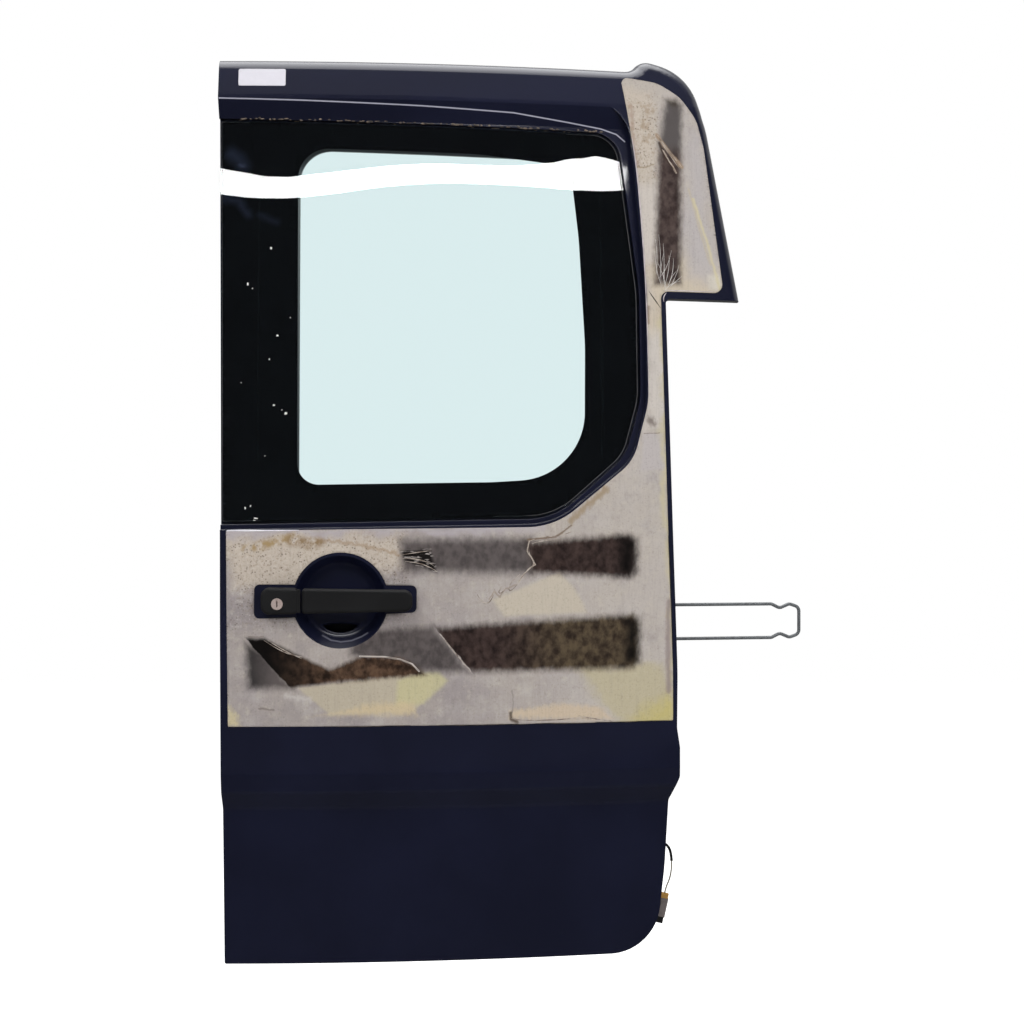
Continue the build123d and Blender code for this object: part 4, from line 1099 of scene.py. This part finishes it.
# Level at which reflections see it: a far and a near distance from the door, and the level at each
FLOOR_MIRRORED = (1500, 500, 0.01, 0.06)
# Strength of the surroundings: for plain light, and as reflections see the front, back and ceiling
WORLD_LIGHT = 0.46
DARK = 0.04
BEHIND = (0.08, 0.6)
CEILING = 4.5
# Lamps: name, way from the middle of the door, size, power
LAMPS = [
    ("key", (-1.6, -2.6, 2.6), (2.2, 1.6), 62), ("fill", (2.2, -2.6, 1.4), (1.8, 1.8), 50),
    ("rear", (0.6, 3.0, 1.6), (2.4, 1.6), 62),
]
DOOR_MIDDLE = (380, 680)
# Bright strip as the pane mirrors it, and the pane's bow, lean and depth
STRIP_LEVEL = 26.0
STRIP_DISTANCE = 2.5
STRIP_TOP = [(-12, 1193), (60, 1176), (150, 1186), (290, 1205), (460, 1202), (560, 1226), (612, 1208)]
STRIP_FOOT = [(-12, 1154), (60, 1144), (150, 1152), (290, 1174), (460, 1173), (540, 1166), (612, 1170)]
PLAN_RADIUS = 2480.0
GLASS_LEAN = math.radians(2.55)
GLASS_DEPTH = 44.0


def surroundings(scene):
    """White all round, but reflections see a dark front and a bright ceiling."""
    scene.world = bpy.data.worlds.new("studio")
    scene.world.use_nodes = True
    g = Nodes(scene.world.node_tree)
    path = g.node("LightPath").outputs
    way = g.node("SeparateXYZ", g.node("TexCoord").outputs["Generated"]).outputs
    behind = g.ramp(way["Z"], -0.05, 0.35, *BEHIND)
    mirrored = g.ramp(way["Y"], -0.1, 0.15, DARK, behind)
    mirrored = g.ramp(way["Z"], 0.76, 0.93, mirrored, CEILING)
    seen = g.math("MAXIMUM", path["Is Camera Ray"], path["Is Transmission Ray"])
    plain = g.ramp(seen, 0.0, 1.0, WORLD_LIGHT, 1.0)
    reflected = g.math("MINIMUM", path["Glossy Depth"], 1.0)
    back = g.tree.nodes["Background"]
    g.put(back, "Color", (1.0, 1.0, 1.0))
    g.put(back, "Strength", g.ramp(reflected, 0.0, 1.0, plain, mirrored))


def strip_card():
    """Bright strip in front that only reflections see, placed by the way the pane mirrors it."""
    points = []
    for line in (STRIP_TOP, STRIP_FOOT):
        for place in smooth_line([Vector((x, 0, z)) for x, z in line]):
            pane = spot(place.x, place.z, GLASS_DEPTH + place.x ** 2 / (2 * PLAN_RADIUS))
            turn = math.asin(place.x / PLAN_RADIUS)
            normal = Vector((math.sin(turn), -math.cos(turn), math.tan(GLASS_LEAN))).normalized()
            mirrored = (pane - CAMERA_PLACE).reflect(normal)
            points.append(pane + mirrored * (-STRIP_DISTANCE / mirrored.y))
    half = len(points) // 2
    mesh = bpy.data.meshes.new("strip_card")
    mesh.from_pydata(points, [], [(k, k + 1, half + k + 1, half + k) for k in range(half - 1)])
    card = placed("strip_card", mesh)
    g = Graph("strip_glow")
    glow = g.node("Emission")
    g.put(glow, "Strength", STRIP_LEVEL)
    reflected = g.math("MINIMUM", g.node("LightPath").outputs["Glossy Depth"], 1.0)
    shown = g.node("MixShader", reflected, g.node("BsdfTransparent").outputs[0], glow.outputs[0])
    g.put(g.tree.nodes["Material Output"], "Surface", shown.outputs[0])
    mesh.materials.append(g.material)
    for kind in ("camera", "diffuse", "shadow"):
        setattr(card, "visible_" + kind, False)


def pale_floor():
    """Plain floor that keeps the object's shadow; reflections see it dark."""
    z = FOOT - FLOOR_DROP
    mesh = bpy.data.meshes.new("floor")
    corners = [(-1, -1), (1, -1), (1, 1), (-1, 1)]
    mesh.from_pydata([(x * FLOOR_HALF, y * FLOOR_HALF, z) for x, y in corners], [], [(0, 1, 2, 3)])
    floor = placed("floor", mesh)
    g = Graph("pale_floor", roughness=0.9, ior_level=0.0)
    path = g.node("LightPath").outputs
    reflected = g.math("MINIMUM", path["Glossy Depth"], 1.0)
    g.finish(base_color=g.mix(reflected, (FLOOR_TONE, FLOOR_TONE, FLOOR_TONE), (0.0, 0.0, 0.0)))
    g.finish(emission_color=(1.0, 1.0, 1.0))
    depth = g.node("SeparateXYZ", g.place).outputs[1]
    far, close, far_level, close_level = FLOOR_MIRRORED
    near = g.ramp(depth, FRONT / MM - far, FRONT / MM - close, far_level, close_level)
    plain = g.math("MAXIMUM", path["Is Camera Ray"], path["Is Transmission Ray"])
    plain = g.math("MULTIPLY", plain, g.math("MULTIPLY_ADD", reflected, -FLOOR_GLOW, FLOOR_GLOW))
    g.finish(emission_strength=g.math("MULTIPLY_ADD", near, reflected, plain))
    mesh.materials.append(g.material)


def stage():
    """Pale floor, white surroundings, lamps and the photograph's camera."""
    scene = bpy.context.scene
    scene.view_settings.view_transform = "Standard"
    pale_floor()
    surroundings(scene)
    aim = spot(*DOOR_MIDDLE)
    for name, way, size, power in LAMPS:
        light = bpy.data.lights.new(name, "AREA")
        light.shape = "RECTANGLE"
        light.size, light.size_y = size
        light.energy = power
        made = placed(name, light)
        made.location = aim + Vector(way)
        made.rotation_euler = (-Vector(way)).to_track_quat("-Z", "Y").to_euler()
        for kind in ("camera", "glossy", "transmission"):
            setattr(made, "visible_" + kind, False)
    strip_card()

    camera = placed("camera", bpy.data.cameras.new("camera"))
    camera.location = CAMERA_PLACE
    camera.rotation_euler = (math.pi / 2, 0, 0)
    camera.data.sensor_width = CAMERA_SENSOR
    camera.data.lens = CAMERA_LENS
    scene.camera = camera


stage()
